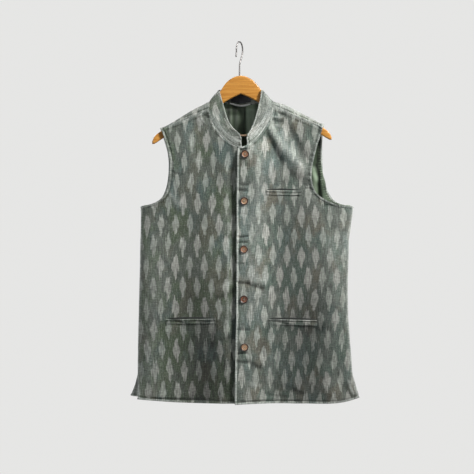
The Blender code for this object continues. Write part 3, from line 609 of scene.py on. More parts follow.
    def front_point(self, panel: Panel, share: Array, down: Array) -> Array:
        """A front, read at a share of its width from the neckline or front edge and a place down from the shoulder.

        Each row of the front's table is a straight line in the front view, which the hem hangs below.

        Args:
            panel: the front.
            share: 0 at the neckline or front edge, 1 at the armhole or side.
            down: 0 at the shoulder seam, 1 at the hem.

        Returns:
            The points.
        """
        in_x, in_z, out_x, out_z = (row_curve(self.rows(panel), c, down) for c in self.rows(panel))
        edge = "left_front" if panel is Panel.RIGHT_FRONT else "right_front"
        out_x = np.where(out_z > self.underarm, out_x, curve_through(self.sides["z"], self.sides[edge], out_z))
        x, z = in_x + (out_x - in_x) * share, in_z + (out_z - in_z) * share - self.hem_drop(panel, share, down)
        return self.point(Side.FRONT, x, z, panel)

    def back_point(self, share: Array, down: Array) -> Array:
        """The back below the ridge, read at a share of its width from the left side and a place down from the ridge.

        Its rows are straight in the front view at the hem and rise towards the ridge by (1 - t)^2, t the place down
        over straight_by, where they follow it and dip to the neck seam.

        Args:
            share: 0 at the left side, 1 at the right one.
            down: 0 at the ridge, 1 at the hem.

        Returns:
            The points.
        """
        left_x, left_z, right_x, right_z = (row_curve(self.back, c, down) for c in self.back)
        sides = self.sides
        left_x = np.where(left_z > self.underarm, left_x, curve_through(sides["z"], sides["left_back"], left_z))
        right_x = np.where(right_z > self.underarm, right_x, curve_through(sides["z"], sides["right_back"], right_z))
        x = left_x + (right_x - left_x) * share
        left_tip, left_top, right_tip, right_top = (self.back[c][0] for c in self.back)
        top = left_tip + (right_tip - left_tip) * share
        top = top + (x - top) * smoothstep(down / self.full_by)
        chord = left_z + (right_z - left_z) * share
        neck_x, neck_drop = self.back_neck["x"], self.back_neck["drop"]
        inside = (top > neck_x[0]) & (top < neck_x[-1])
        neck = np.where(inside, curve_through(neck_x, neck_drop, top), 0.0)
        rise = self.ridge_height(top) - neck - (left_top + (right_top - left_top) * share)
        z = chord + rise * np.maximum(1.0 - down / self.straight_by, 0.0) ** 2 - self.hem_drop(Panel.BACK, share, down)
        return self.point(Side.BACK, x, np.minimum(z, self.ridge_height(x)))

    def strip_point(self, panel: Panel, share: Array, over: Array) -> Array:
        """The back's shoulder, brought over the ridge to the seam on one front, at even steps round the turn.

        Args:
            panel: the front it comes over to.
            share: 0 at the neck, 1 at the armhole.
            over: 0 at the ridge, 1 at the seam.

        Returns:
            The points.
        """
        left = panel is Panel.LEFT_FRONT
        neck_x = self.back_neck["x"][-1 if left else 0]
        tip_x = self.back["right_x" if left else "left_x"][0]
        in_x, in_z, out_x, out_z = (self.rows(panel)[c][0] for c in self.rows(panel))
        x = neck_x + (tip_x - neck_x) * share
        seam_x = in_x + (out_x - in_x) * share
        seam_z = in_z + (out_z - in_z) * share
        radius = self.ridge_radius
        fall = np.minimum(self.ridge_height(seam_x) - seam_z - self.seam, radius * 8)
        gone = self.arc_of_drop(fall) * over
        drop = np.where(
            gone < radius * math.pi / 2, radius * (1.0 - np.cos(gone / radius)), radius + gone - radius * math.pi / 2,
        )
        x = x + (seam_x - x) * over
        return self.point(Side.FRONT, x, self.ridge_height(x) - drop, panel)

    def arc_of_drop(self, drop: Array) -> Array:
        """The length of cloth from the ridge to a drop below it: a quarter round, then straight down."""
        radius = self.ridge_radius
        turned = radius * np.arccos(np.clip(1.0 - drop / radius, -1.0, 1.0))
        return np.where(drop < radius, turned, radius * math.pi / 2 + drop - radius)

    def cloth_up(self, points: Array, over_ridge: bool = False) -> Array:
        """How high each point lies along the warp, as if the cloth were hung flat from the ridge.

        Args:
            points: points of the cloth.
            over_ridge: whether it has come over from the other side, so that it runs on upwards.

        Returns:
            The heights.
        """
        top = self.ridge_height(points[..., 0])
        arc = self.arc_of_drop(np.maximum(top - points[..., 2], 0.0))
        return top + arc if over_ridge else top - arc

    def hung(self, points: Array, outward: Sequence[float], over_ridge: bool = False) -> "ClothGrid":
        """A grid of the form's points with its cloth coordinates: across from the middle, and up the warp."""
        cloth = np.stack([self.cloth_across(points, 0.0), self.cloth_up(points, over_ridge)], axis=-1)
        return ClothGrid(points, cloth, np.array(outward))

    def cloth_across(self, points: Array, middle: float) -> Array:
        """How far across the weft each point of a grid lies: its rows' length in X and Y, counted from one X."""
        step = np.hypot(np.diff(points[..., 0], axis=1), np.diff(points[..., 1], axis=1))
        along = np.concatenate([np.zeros((len(points), 1)), np.cumsum(step, axis=1)], axis=1)
        rising = points[0, -1, 0] > points[0, 0, 0]
        order = slice(None) if rising else slice(None, None, -1)
        signed = along if rising else -along
        start = np.array([
            np.interp(middle, x[order], a[order]) if x.min() <= middle <= x.max() else
            (a[0] + (middle - x[0]) if abs(middle - x[0]) < abs(middle - x[-1]) else a[-1] + (middle - x[-1]))
            for x, a in zip(points[..., 0], signed)
        ])
        return signed - start[:, None]


def run_places(x: Array, z: Array, x0: float, z0: float, x1: float, z1: float) -> tuple[Array, Array, float]:
    """Where points lie against a straight run of the front view.

    Args:
        x, z: the points' X and Z.
        x0, z0: the run's start.
        x1, z1: its end.

    Returns:
        How far along the run each lies, how far to its side, and the run's length.
    """
    run = np.array([x1 - x0, z1 - z0])
    length = float(np.hypot(*run))
    along = ((x - x0) * run[0] + (z - z0) * run[1]) / length
    across = ((x - x0) * run[1] - (z - z0) * run[0]) / length
    return along, across, length


# ---------------------------------------------------------------------------------------------- cloth pieces


@dataclass(frozen=True)
class Edging:
    """How a finished edge lies: a rolled rim, then a sunk line of stitches, with the cloth drawn up beside it."""

    roll: float  # height of the roll
    roll_width: float  # half its width
    stitch: float  # how far in the stitches lie
    sunk: float  # how deep they are drawn
    pucker: float  # height of the small waves beside them
    pitch: float  # about the length of those waves
    pale: float = 0.5  # how pale its edge is: partly worn cloth, partly a painted highlight

    def height(self, away: Array, along: Array, seed: int) -> Array:
        """The edge's height over the plain cloth.

        A bell at the roll's half width, less a narrow bell at the stitches, plus waves along the edge that fade in
        a bell to either side of the stitches.

        Args:
            away: each point's distance from the edge.
            along: how far along the edge its nearest point lies.
            seed: seeds the waves.

        Returns:
            The heights.
        """
        waves = ripples(along, along * 0.0, seed, self.pitch * 2.0, self.pucker, 7)
        beside = bell(away - self.stitch, self.stitch * 0.9) * smoothstep(away / 0.002)
        roll = self.roll * bell(away - self.roll_width, self.roll_width * 0.9)
        return roll - self.sunk * bell(away - self.stitch, 0.0009) + waves * beside

    def worn(self, away: Array) -> Array:
        """How worn the cloth is: the edge's paleness, worn and painted highlight, fading out at the stitches; painted
        shade in their groove.
        """
        painted_groove_shade = 0.55 * bell(away - 1.12 * self.stitch, 0.28 * self.stitch) * (self.sunk > 0.0003)
        return self.pale * (1.0 - smoothstep((away / self.stitch - 0.55) / 0.5)) - painted_groove_shade


# Each edging's last value pales its edge: partly worn cloth, partly a painted highlight along the edge.
HEM_EDGE = Edging(0.0006, 0.0021, 0.0062, 0.0012, 0.0005, 0.012, 0.85)
FRONT_EDGE = Edging(0.001, 0.0026, 0.0062, 0.0008, 0.0004, 0.014, 0.75)
ARMHOLE_EDGE = Edging(0.0006, 0.002, 0.0064, 0.0013, 0.0015, 0.007, 0.5)
BACK_ARMHOLE_EDGE = Edging(0.0002, 0.002, 0.0058, 0.0006, 0.0008, 0.007, 1.0)
SIDE_EDGE = Edging(0.0005, 0.003, 0.006, 0.0002, 0.00035, 0.02, 0.95)
SEAM_EDGE = Edging(0.0007, 0.003, 0.006, 0.0005, 0.00095, 0.01, 0.2)
COLLAR_EDGE = Edging(0.0004, 0.0018, 0.0046, 0.0005, 0.0003, 0.01, 0.45)
COLLAR_FOOT = Edging(0.0002, 0.0018, 0.0042, 0.0004, 0.0004, 0.01, 0.0)

# Creases and soft waves: a trough or ridge along each run, bowed sideways at its middle.
CREASE_COLUMNS = "x0 z0 x1 z1 bow width height"
CREASES = {
    Panel.LEFT_FRONT: tenths(
        CREASE_COLUMNS,
        # the wearer's left front: the drag from the neck to the armhole, with a trough on either side
        (630, -2160, 1010, -2980, -10, 85, -50), (1180, -2050, 1640, -2900, 0, 105, -52),
        (680, -2060, 1050, -2560, 0, 105, 56), (1050, -2560, 1570, -3140, 0, 110, 54),
        (1060, -2160, 1200, -2420, 20, 70, 12), (1150, -3180, 1640, -3350, 40, 80, -12),
        (1560, -3485, 1740, -3500, 10, 22, -18), (1600, -3590, 1750, -3585, -10, 20, -17),
        (1700, -3700, 2100, -4150, 60, 90, 14), (2000, -3950, 2350, -4700, 50, 110, -16),
        (2300, -4150, 2560, -5200, -50, 100, 13),
        # by its shoulder seam and neck
        (800, -1655, 920, -1690, 0, 28, 14), (940, -1720, 1130, -1765, 10, 36, -22),
        (760, -1825, 1070, -1830, 8, 26, 14), (790, -1905, 1070, -1940, 10, 36, -20),
        (690, -1860, 810, -1975, -10, 28, 14), (860, -2010, 1000, -2050, 10, 40, 10),
        (720, -2050, 780, -2150, 0, 30, -12),
        # its buttonhole edge
        (-20, -2632, 230, -2622, 8, 26, -22), (0, -3478, 240, -3490, 10, 30, -20),
        (-80, -3615, 190, -3625, 12, 28, -20), (-80, -3030, 240, -2990, 10, 38, -12),
        (-80, -4190, 210, -4230, -10, 34, -10), (-80, -4760, 230, -4745, 14, 24, -23),
        (-80, -4915, 190, -4900, -10, 22, -23), (-80, -5410, 180, -5425, 10, 34, -14),
        (-80, -5870, 250, -5900, 10, 27, -24), (180, -5890, 600, -6030, 20, 51, -23),
        (250, -5740, 700, -5850, 10, 80, 9), (-80, -7010, 210, -7030, 12, 27, -21),
        (-80, -7620, 190, -7610, -10, 26, -21), (-80, -7800, 230, -7830, 12, 29, -21),
        (220, -7800, 560, -7980, 20, 59, -21), (250, -8340, 520, -8400, 10, 45, 11),
        (1280, -8480, 1560, -8600, 20, 50, -16), (0, -8785, 1480, -8760, -10, 16, -17),
        (560, -8560, 1180, -8660, 20, 45, -12), (2660, -8260, 2780, -8600, 10, 32, 22),
        (2560, -8300, 2690, -8620, 10, 30, -10), (1500, -6960, 2000, -7050, 10, 75, -18),
        # its broad hollow, and the swell beside it
        (1220, -4200, 1280, -9000, -60, 500, -84), (1800, -6300, 2050, -9400, 0, 480, -88),
        (2050, -5200, 2080, -7400, 0, 260, -30), (450, -2500, 420, -4100, 0, 120, 22),
        (420, -4100, 400, -6800, 60, 220, 22), (2220, -4700, 2260, -9000, 50, 300, 45),
        # the length of it
        (550, -3300, 500, -5600, 60, 160, 9), (1180, -3900, 1260, -6500, -60, 200, 11),
        (1900, -4600, 1980, -6600, 60, 180, -12), (2350, -5600, 2300, -7600, -60, 150, 10),
        (700, -6950, 560, -7600, 30, 80, -12), (1920, -6820, 2150, -7500, -40, 90, -14),
        (1350, -7100, 1400, -8500, 50, 170, 12), (2150, -7500, 2300, -8700, 30, 140, 14),
        (820, -8000, 900, -8800, -30, 120, -10), (1570, -3445, 1730, -3435, 6, 26, -12),
        (1600, -3560, 1760, -3530, 6, 26, -10),
    ),
    Panel.RIGHT_FRONT: tenths(
        CREASE_COLUMNS,
        # the wearer's right front: along its hem, by its neck and shoulder
        (-2190, -8715, -800, -8740, -10, 18, -16),
        (-900, -1720, -780, -1850, 10, 30, -8), (-960, -1770, -870, -1980, 10, 36, 12),
        (-1080, -1840, -1020, -2100, -10, 50, -9), (-760, -1880, -700, -2080, 10, 36, 9),
        (-1250, -2000, -1160, -2900, 30, 110, 11), (-980, -2150, -850, -3100, -30, 120, -10),
        (-1560, -2300, -1480, -3100, 20, 100, -9),
        # by its armhole and side
        (-1700, -3150, -1400, -3270, 10, 40, -9), (-1780, -3600, -1400, -4000, 40, 80, 12),
        (-1980, -3900, -1650, -4500, 50, 90, -14), (-2250, -4050, -2100, -5000, -40, 90, 12),
        # by its edge, under the other front
        (-270, -4400, -280, -7050, 15, 32, 13), (-400, -5200, -380, -6100, -20, 60, -10),
        (-560, -6260, -100, -6030, 30, 70, -18), (-500, -6000, -150, -5830, 10, 70, 10),
        (-450, -4800, -120, -4700, 10, 50, -10), (-440, -3820, -120, -3760, 10, 55, -9),
        (-480, -7280, -140, -7150, 10, 60, -12), (-360, -7600, -300, -8600, 20, 80, -10),
        # its broad hollow, and the swell beside it
        (-1150, -4000, -1080, -9200, 60, 480, -48), (-1120, -5900, -1050, -9500, -50, 460, -54),
        (-800, -7200, -650, -9300, 0, 480, -66), (-2150, -4900, -2180, -9000, -50, 300, 30),
        # the length of it
        (-750, -3400, -700, -5800, -50, 170, 9), (-1200, -4300, -1260, -6500, 60, 200, -11),
        (-1900, -4600, -1960, -6600, -60, 180, 11), (-1800, -6850, -2050, -7700, 40, 90, -13),
        (-580, -6850, -640, -7500, 30, 80, -11), (-1200, -7000, -1150, -8600, -50, 180, 12),
        (-2100, -7200, -2180, -8700, 40, 140, 12), (-1650, -7600, -1700, -8800, -30, 130, -11),
    ),
    Panel.BACK: tenths(
        CREASE_COLUMNS,
        # the back: across the shoulders, down from the blades, and at the waist and hem
        (-1300, -2000, -500, -2350, 60, 120, -16), (1400, -1950, 550, -2300, -60, 120, -16),
        (-900, -1850, 1000, -1830, -80, 90, 12), (-1650, -2700, -1150, -3500, 80, 120, 18),
        (1900, -2700, 1350, -3550, -80, 120, 18), (-1750, -3700, -1300, -5100, 90, 140, -18),
        (2150, -3800, 1550, -5200, -90, 140, -18), (-2200, -4150, -1900, -5600, -50, 110, 14),
        (2500, -4200, 2200, -5700, 50, 110, 14), (-550, -3000, -650, -5500, 70, 190, 15),
        (650, -2900, 700, -5400, -70, 190, 14), (50, -2300, 0, -4500, 50, 160, -12),
        (-1350, -5500, -1200, -7800, 80, 190, 16), (1450, -5600, 1350, -8000, -80, 190, 17),
        (100, -5600, 150, -8300, 60, 200, 13), (-2150, -6400, -2000, -8300, 50, 130, -15),
        (2350, -6500, 2150, -8400, -50, 130, -15), (-650, -6800, -700, -8700, -40, 150, -13),
        (750, -6900, 800, -8700, 40, 150, -14), (-1900, -7600, -1800, -8700, 30, 110, 13),
        (1900, -7700, 1900, -8750, 30, 110, 14),
    ),
}


def crease_height(panel: Panel, x: Array, z: Array, widest: float = 1.0) -> Array:
    """The height of a panel's creases: a bell across each run, bowed by a parabola and faded at its two ends.

    Args:
        panel: the panel.
        x, z: the points' X and Z.
        widest: the width above which a crease is left out.

    Returns:
        The heights.
    """
    total = np.zeros(x.shape)
    for x0, z0, x1, z1, bow, width, height in zip(*CREASES[panel].values()):
        if width <= widest:
            along, across, length = run_places(x, z, x0, z0, x1, z1)
            t = np.clip(along / length, 0.0, 1.0)
            fade = min(0.45 * length, 3.0 * width)
            ends = smoothstep(along / fade + 0.5) * smoothstep((length - along) / fade + 0.5)
            total += height * ends * bell(across - bow * 4.0 * t * (1.0 - t), width)
    return total


@dataclass
class ClothGrid:
    """A panel's grid of points, kept with its shape so that its edges can be found again."""

    points: Array
    cloth: Array
    outward: Array

    def surface(self) -> Surface:
        """The grid as a surface."""
        return Surface.grid(self.points, self.cloth, self.outward)

    def lift(self, height: Array) -> None:
        """Moves each point out along its normal."""
        normals = self.surface().normals().reshape(self.points.shape)
        self.points = self.points + normals * height.reshape(self.points.shape[:2])[..., None]

    def wear_and_painted_light(self, worn: Array) -> None:
        """Adds the worn value, kept between -1 and 1, to its coordinates: worn edges and painted highlight above
        nought, painted shade below.
        """
        self.cloth = np.concatenate([self.cloth, np.clip(worn, -1.0, 1.0)[..., None]], axis=-1)

    def places_by(self, line: Array) -> tuple[Array, Array]:
        """Each point's distance from a line, and how far along it the line's nearest point lies."""
        away, nearest = distance_to(self.points.reshape(-1, 3), line)
        shape = self.points.shape[:2]
        return away.reshape(shape), run_length(line)[nearest].reshape(shape)


@dataclass
class StitchRun:
    """A line on the cloth for stitches to follow, with the cloth's normals."""

    points: Array
    normals: Array


def run_inside(grid: ClothGrid, away: Array, inset: float, edge: str, kept: slice = slice(None)) -> StitchRun:
    """The line that lies at one distance inside a grid's edge.

    On each grid line that leaves the edge, the point is read between the two whose distances lie on either side.

    Args:
        grid: the grid.
        away: its points' distances from the edge.
        inset: the distance wanted.
        edge: which edge: "first_column", "last_column", "first_row" or "last_row".
        kept: which of the grid lines are followed.

    Returns:
        The run.
    """
    normals = grid.surface().normals().reshape(grid.points.shape)
    stack = np.concatenate([grid.points, normals, away[..., None]], axis=-1)
    if edge.endswith("row"):
        stack = stack.swapaxes(0, 1)
    if edge.startswith("last"):
        stack = stack[:, ::-1]
    lines = stack[kept]
    far = np.maximum.accumulate(lines[..., 6], axis=1)
    i = np.clip((far < inset).sum(axis=1), 1, lines.shape[1] - 1)
    rows = np.arange(len(lines))
    low, high = lines[rows, i - 1], lines[rows, i]
    share = np.clip((inset - low[:, 6]) / np.maximum(high[:, 6] - low[:, 6], 1e-9), 0.0, 1.0)[:, None]
    read = low + (high - low) * share
    return StitchRun(read[:, :3], unit(read[:, 3:6]))


def find_runs(grid: ClothGrid, *runs: tuple[Array, Edging, str, slice]) -> list[StitchRun]:
    """The runs of stitches inside a grid's edges, each given as its line, edging, edge and the grid lines followed."""
    return [run_inside(grid, grid.places_by(line)[0], edging.stitch, edge, kept) for line, edging, edge, kept in runs]


@dataclass
class Front:
    """One front of the jacket: a shell from the neckline or front edge to the armhole and side."""

    form: GarmentForm
    panel: Panel
    thickness: float = 0.0016
    tucked: tuple[float, float, float] = (0.0, 0.0016, 0.003)  # how far its top row goes back and up, under the strip
    slow: tuple[float, float] = (0.15, 0.00045)  # the longest and the height of its slow ripples
    quick: tuple[float, float] = (0.05, 0.00016)  # the same of its quicker ones
    rubbed_and_painted_light: tuple[tuple[float, float], ...] = ((0.008, 320.0), (0.0125, 15.0), (1.0, 62.0))  # widest crease, and how strongly its height paints shade in troughs and highlight on ridges
    smoothed: float = 0.8  # how much of its relief is lost where it lies under the other front
    stitches: list[StitchRun] = field(default_factory=list)

    @property
    def name(self) -> str:
        """The front's name."""
        return self.panel.name.lower()

    def columns(self) -> Array:
        """Shares across: fine by both edges, and quadratic at the side, where the form turns steeply."""
        turning = 0.00048 * np.arange(1, 9) ** 2
        by_side = np.concatenate([[0.0, 5e-6, 6e-5, 2.2e-4], turning])
        return np.unique(np.concatenate([[0.0], STEP_IN, np.arange(0.0145, 0.962, 0.0086), 1.0 - by_side]))

    def grid(self) -> ClothGrid:
        """The front's grid, with its creases, its edges and a seam allowance tucked under the shoulder strip."""
        marks = places_down(FRONT_BETWEEN, (0.0006, 0.002, 0.004), (0.0001, 0.0003, 0.0007))
        share, down = np.meshgrid(self.columns(), marks)
        points = self.form.front_point(self.panel, share, down)
        made = self.form.hung(points, FORWARDS)
        height, worn = self.relief(made)
        made.lift(height)
        made.points[0] += np.array(self.tucked)
        made.wear_and_painted_light(worn)
        return made

    def relief(self, grid: ClothGrid) -> tuple[Array, Array]:
        """The height of everything on the plain form, which is creases, ripples and the edges' finish, and the worn
        value: worn edges, painted highlight and painted shade.
        """
        x, z = grid.points[..., 0], grid.points[..., 2]
        below_neck = count_above(grid.points[:, 0], EDGE_TOP)
        below_arm = count_above(grid.points[:, -1], ARM_END)
        seed = 100 * (self.panel.value + 2)
        creases = crease_height(self.panel, x, z)
        height = creases + ripples(x, z * 0.6, seed, *self.slow) + ripples(x, z * 0.8, seed + 1, *self.quick)
        lines = {
            "shoulder": (grid.points[0], SEAM_EDGE), "neck": (grid.points[: below_neck + 1, 0], SEAM_EDGE),
            "edge": (grid.points[below_neck:, 0], FRONT_EDGE),
            "armhole": (grid.points[: below_arm + 1, -1], ARMHOLE_EDGE),
            "side": (grid.points[below_arm:, -1], SIDE_EDGE), "hem": (grid.points[-1], HEM_EDGE),
        }
        worn = np.zeros(x.shape)
        # Each edge pales the cloth (worn edge and painted highlight) and puts painted shade in its stitch groove; the
        # side gets a further painted highlight.
        for number, (line, edging) in enumerate(lines.values()):
            away, along = grid.places_by(line)
            height += edging.height(away, along, seed + 10 + number)
            worn += edging.worn(away) + (0.5 * bell(away, 0.009) if edging is SIDE_EDGE else 0.0)
        # Creases paint shade in their troughs and highlight on their ridges.
        for widest, share in self.rubbed_and_painted_light:
            worn += crease_height(self.panel, x, z, widest) * share
        # A faint painted highlight on the left front near its front edge.
        if self.panel is Panel.LEFT_FRONT:
            worn += 0.05 * smoothstep((0.118 - x) / 0.05)
        under = smoothstep((x + 0.004) / 0.01) if self.panel is Panel.RIGHT_FRONT else 0.0
        return height * (1.0 - self.smoothed * under), worn

    def build(self, cloth: "Finish", lining: "Finish") -> Piece:
        """Makes the front.

        Args:
            cloth: the finish of its outside.
            lining: that of its inside.

        Returns:
            The object.
        """
        grid = self.grid()
        self.find_stitches(grid)
        return lining.dress(cloth.dress(add_shell(self.name + "_cloth", grid.surface(), self.thickness, 1)))

    def find_stitches(self, grid: ClothGrid) -> None:
        """Notes the runs of stitches along the front edge, the armhole, the hem, and the neckline."""
        points = grid.points
        below_neck, below_arm = count_above(points[:, 0], EDGE_TOP), count_above(points[:, -1], ARM_END)
        self.stitches += find_runs(
            grid, (points[below_neck:, 0], FRONT_EDGE, "first_column", slice(below_neck + 3, -2)),
            (points[: below_arm + 1, -1], ARMHOLE_EDGE, "last_column", slice(3, below_arm - 2)),
            (points[-1], HEM_EDGE, "last_row", slice(8, -12)),
        )


@dataclass
class Back:
    """The back: one shell from the hem up to the ridge and over it to the shoulder seams of both fronts."""

    form: GarmentForm
    thickness: float = 0.0016
    flare: float = 0.0034  # how far its armhole edges turn outwards
    neck_ends: tuple[float, float] = (-0.0755, 0.0835)  # X of the two ends of the neck's seam
    swell_painted_light: float = 90.0  # how much lighter the cloth is painted for each metre of swell, and darker for each metre of hollow
    strip_painted_highlight: tuple[float, float] = (0.58, 0.32)  # how much paler the strips over the left and the right shoulder are painted, as highlight
    slow: tuple[float, float] = (0.17, 0.0006)  # the longest and the height of its slow ripples
    stitches: list[StitchRun] = field(default_factory=list)
    edges: list[tuple[Array, Edging]] = field(default_factory=list)

    def neck_shares(self) -> Array:
        """The shares of the top row at which the neck points lie."""
        left, right = self.form.back["left_x"][0], self.form.back["right_x"][0]
        return (self.form.back_neck["x"][[0, -1]] - left) / (right - left)

    def columns(self) -> Array:
        """Shares across: quadratic at both sides, with one at each neck point and fine steps beside it."""
        by_side = np.concatenate([[0.0, 5e-6, 6e-5, 2.2e-4], 0.00055 * np.arange(1, 8) ** 2])
        steps = np.array([0.0, 0.0004, 0.0012, 0.0026])
        by_neck = (self.neck_shares()[:, None] + np.array([-1.0, 1.0])[:, None, None] * steps).ravel()
        even = np.arange(0.0335, 0.967, 0.0066)
        even = even[np.abs(even[:, None] - self.neck_shares()).min(axis=1) > 0.005]
        return np.unique(np.round(np.concatenate([by_side, even, by_neck, 1.0 - by_side]), 9))

    def marks(self) -> Array:
        """Places down: even steps round the ridge's turn, then down the table's rows."""
        turn = 6.2e-5 * np.arange(0, 21) ** 2
        down = places_down(BACK_BETWEEN, (), (0.0001, 0.0004, 0.0008))
        return np.concatenate([turn, down[down > 0.027]])

    def grids(self) -> tuple[ClothGrid, ClothGrid, ClothGrid]:
        """The plain grids of the back and of its two strips over the ridge."""
        share, down = np.meshgrid(self.columns(), self.marks())
        points = self.form.back_point(share, down)
        made = [self.form.hung(points, BACKWARDS)]
        for panel, neck in zip((Panel.RIGHT_FRONT, Panel.LEFT_FRONT), self.neck_shares()):
            end = float(panel is Panel.LEFT_FRONT)
            shares = (self.columns() - neck) / (end - neck)
            shares = np.clip(np.sort(shares[shares > -1e-7]), 0.0, 1.0)
            over = np.unique(np.concatenate([np.linspace(0.0, 1.0, 22), 1.0 - np.array([0.004, 0.013, 0.027])]))
            points = self.form.strip_point(panel, *np.meshgrid(shares, over))
            made.append(self.form.hung(points, (0.0, -1.0, 0.5), over_ridge=True))
        return tuple(made)

    def build(self, cloth: "Finish") -> Piece:
        """Makes the back, which is faced with its own cloth round its edges.

        Args:
            cloth: the finish.

        Returns:
            The object.
        """
        back, right_strip, left_strip = self.grids()
        surface = back.surface().joined(right_strip.surface()).joined(left_strip.surface())
        arm = count_above(back.points[:, -1], ARM_END)
        top, (start, end) = back.points[0], self.neck_ends
        neck = top[(top[:, 0] > start) & (top[:, 0] < end)]
        self.edges = [
            (np.concatenate([right_strip.points[::-1, -1], back.points[:arm, 0]]), BACK_ARMHOLE_EDGE),
            (np.concatenate([left_strip.points[::-1, -1], back.points[:arm, -1]]), BACK_ARMHOLE_EDGE),
            (back.points[arm:, 0], SIDE_EDGE), (back.points[arm:, -1], SIDE_EDGE), (back.points[-1], HEM_EDGE),
            (neck, SEAM_EDGE), (right_strip.points[-1], SEAM_EDGE), (left_strip.points[-1], SEAM_EDGE),
        ]
        height, worn = self.relief(surface.points)
        surface.cloth = np.concatenate([surface.cloth, worn[:, None]], axis=-1)
        self.find_stitches(back, arm)
        return cloth.dress(add_shell("back_cloth", surface.lifted(height), self.thickness))

    def swells(self, points: Array) -> Array:
        """The height of the back's creases and slow unevenness, behind the ridge only."""
        behind = smoothstep((points[:, 1] + 0.004) / 0.012)
        height = crease_height(Panel.BACK, points[:, 0], points[:, 2]) * behind
        return height + ripples(points[:, 0], points[:, 2] * 0.6, 300, *self.slow)

    def relief(self, points: Array) -> tuple[Array, Array]:
        """The height of everything on the plain form, which is the swells and all edges' finish, and the worn value:
        worn edges, painted highlight and painted shade.
        """
        height = self.swells(points)
        # Painted highlight on the swells, painted shade in the hollows.
        worn = self.swell_painted_light * height
        for number, (line, edging) in enumerate(self.edges):
            away, nearest = distance_to(points, line)
            if edging is BACK_ARMHOLE_EDGE:
                height += self.flare * bell(away, 0.0055) * smoothstep((points[:, 2] + 0.388) / 0.03)
            height += edging.height(away, run_length(line)[nearest], 310 + number)
            worn += edging.worn(away)
        # Painted highlight on the shoulder strips, and on the back's hem corner at -X.
        on_strip = smoothstep((-points[:, 1] - 0.001) / 0.006) * (points[:, 2] > -0.26)
        worn += on_strip * np.where(points[:, 0] > 0.0, *self.strip_painted_highlight)
        worn += 0.9 * smoothstep((-points[:, 0] - 0.236) / 0.012) * smoothstep((-points[:, 2] - 0.79) / 0.02)
        return height, np.clip(worn, -1.0, 1.0)

    def find_stitches(self, back: ClothGrid, arm: int) -> None:
        """Notes the runs of stitches along the armholes and the hem."""
        back.lift(self.relief(back.points.reshape(-1, 3))[0])
        self.stitches += find_runs(
            back, (back.points[:arm, 0], BACK_ARMHOLE_EDGE, "first_column", slice(12, arm - 2)),
            (back.points[:arm, -1], BACK_ARMHOLE_EDGE, "last_column", slice(12, arm - 2)),
            (back.points[-1], HEM_EDGE, "last_row", slice(12, -12)),
        )


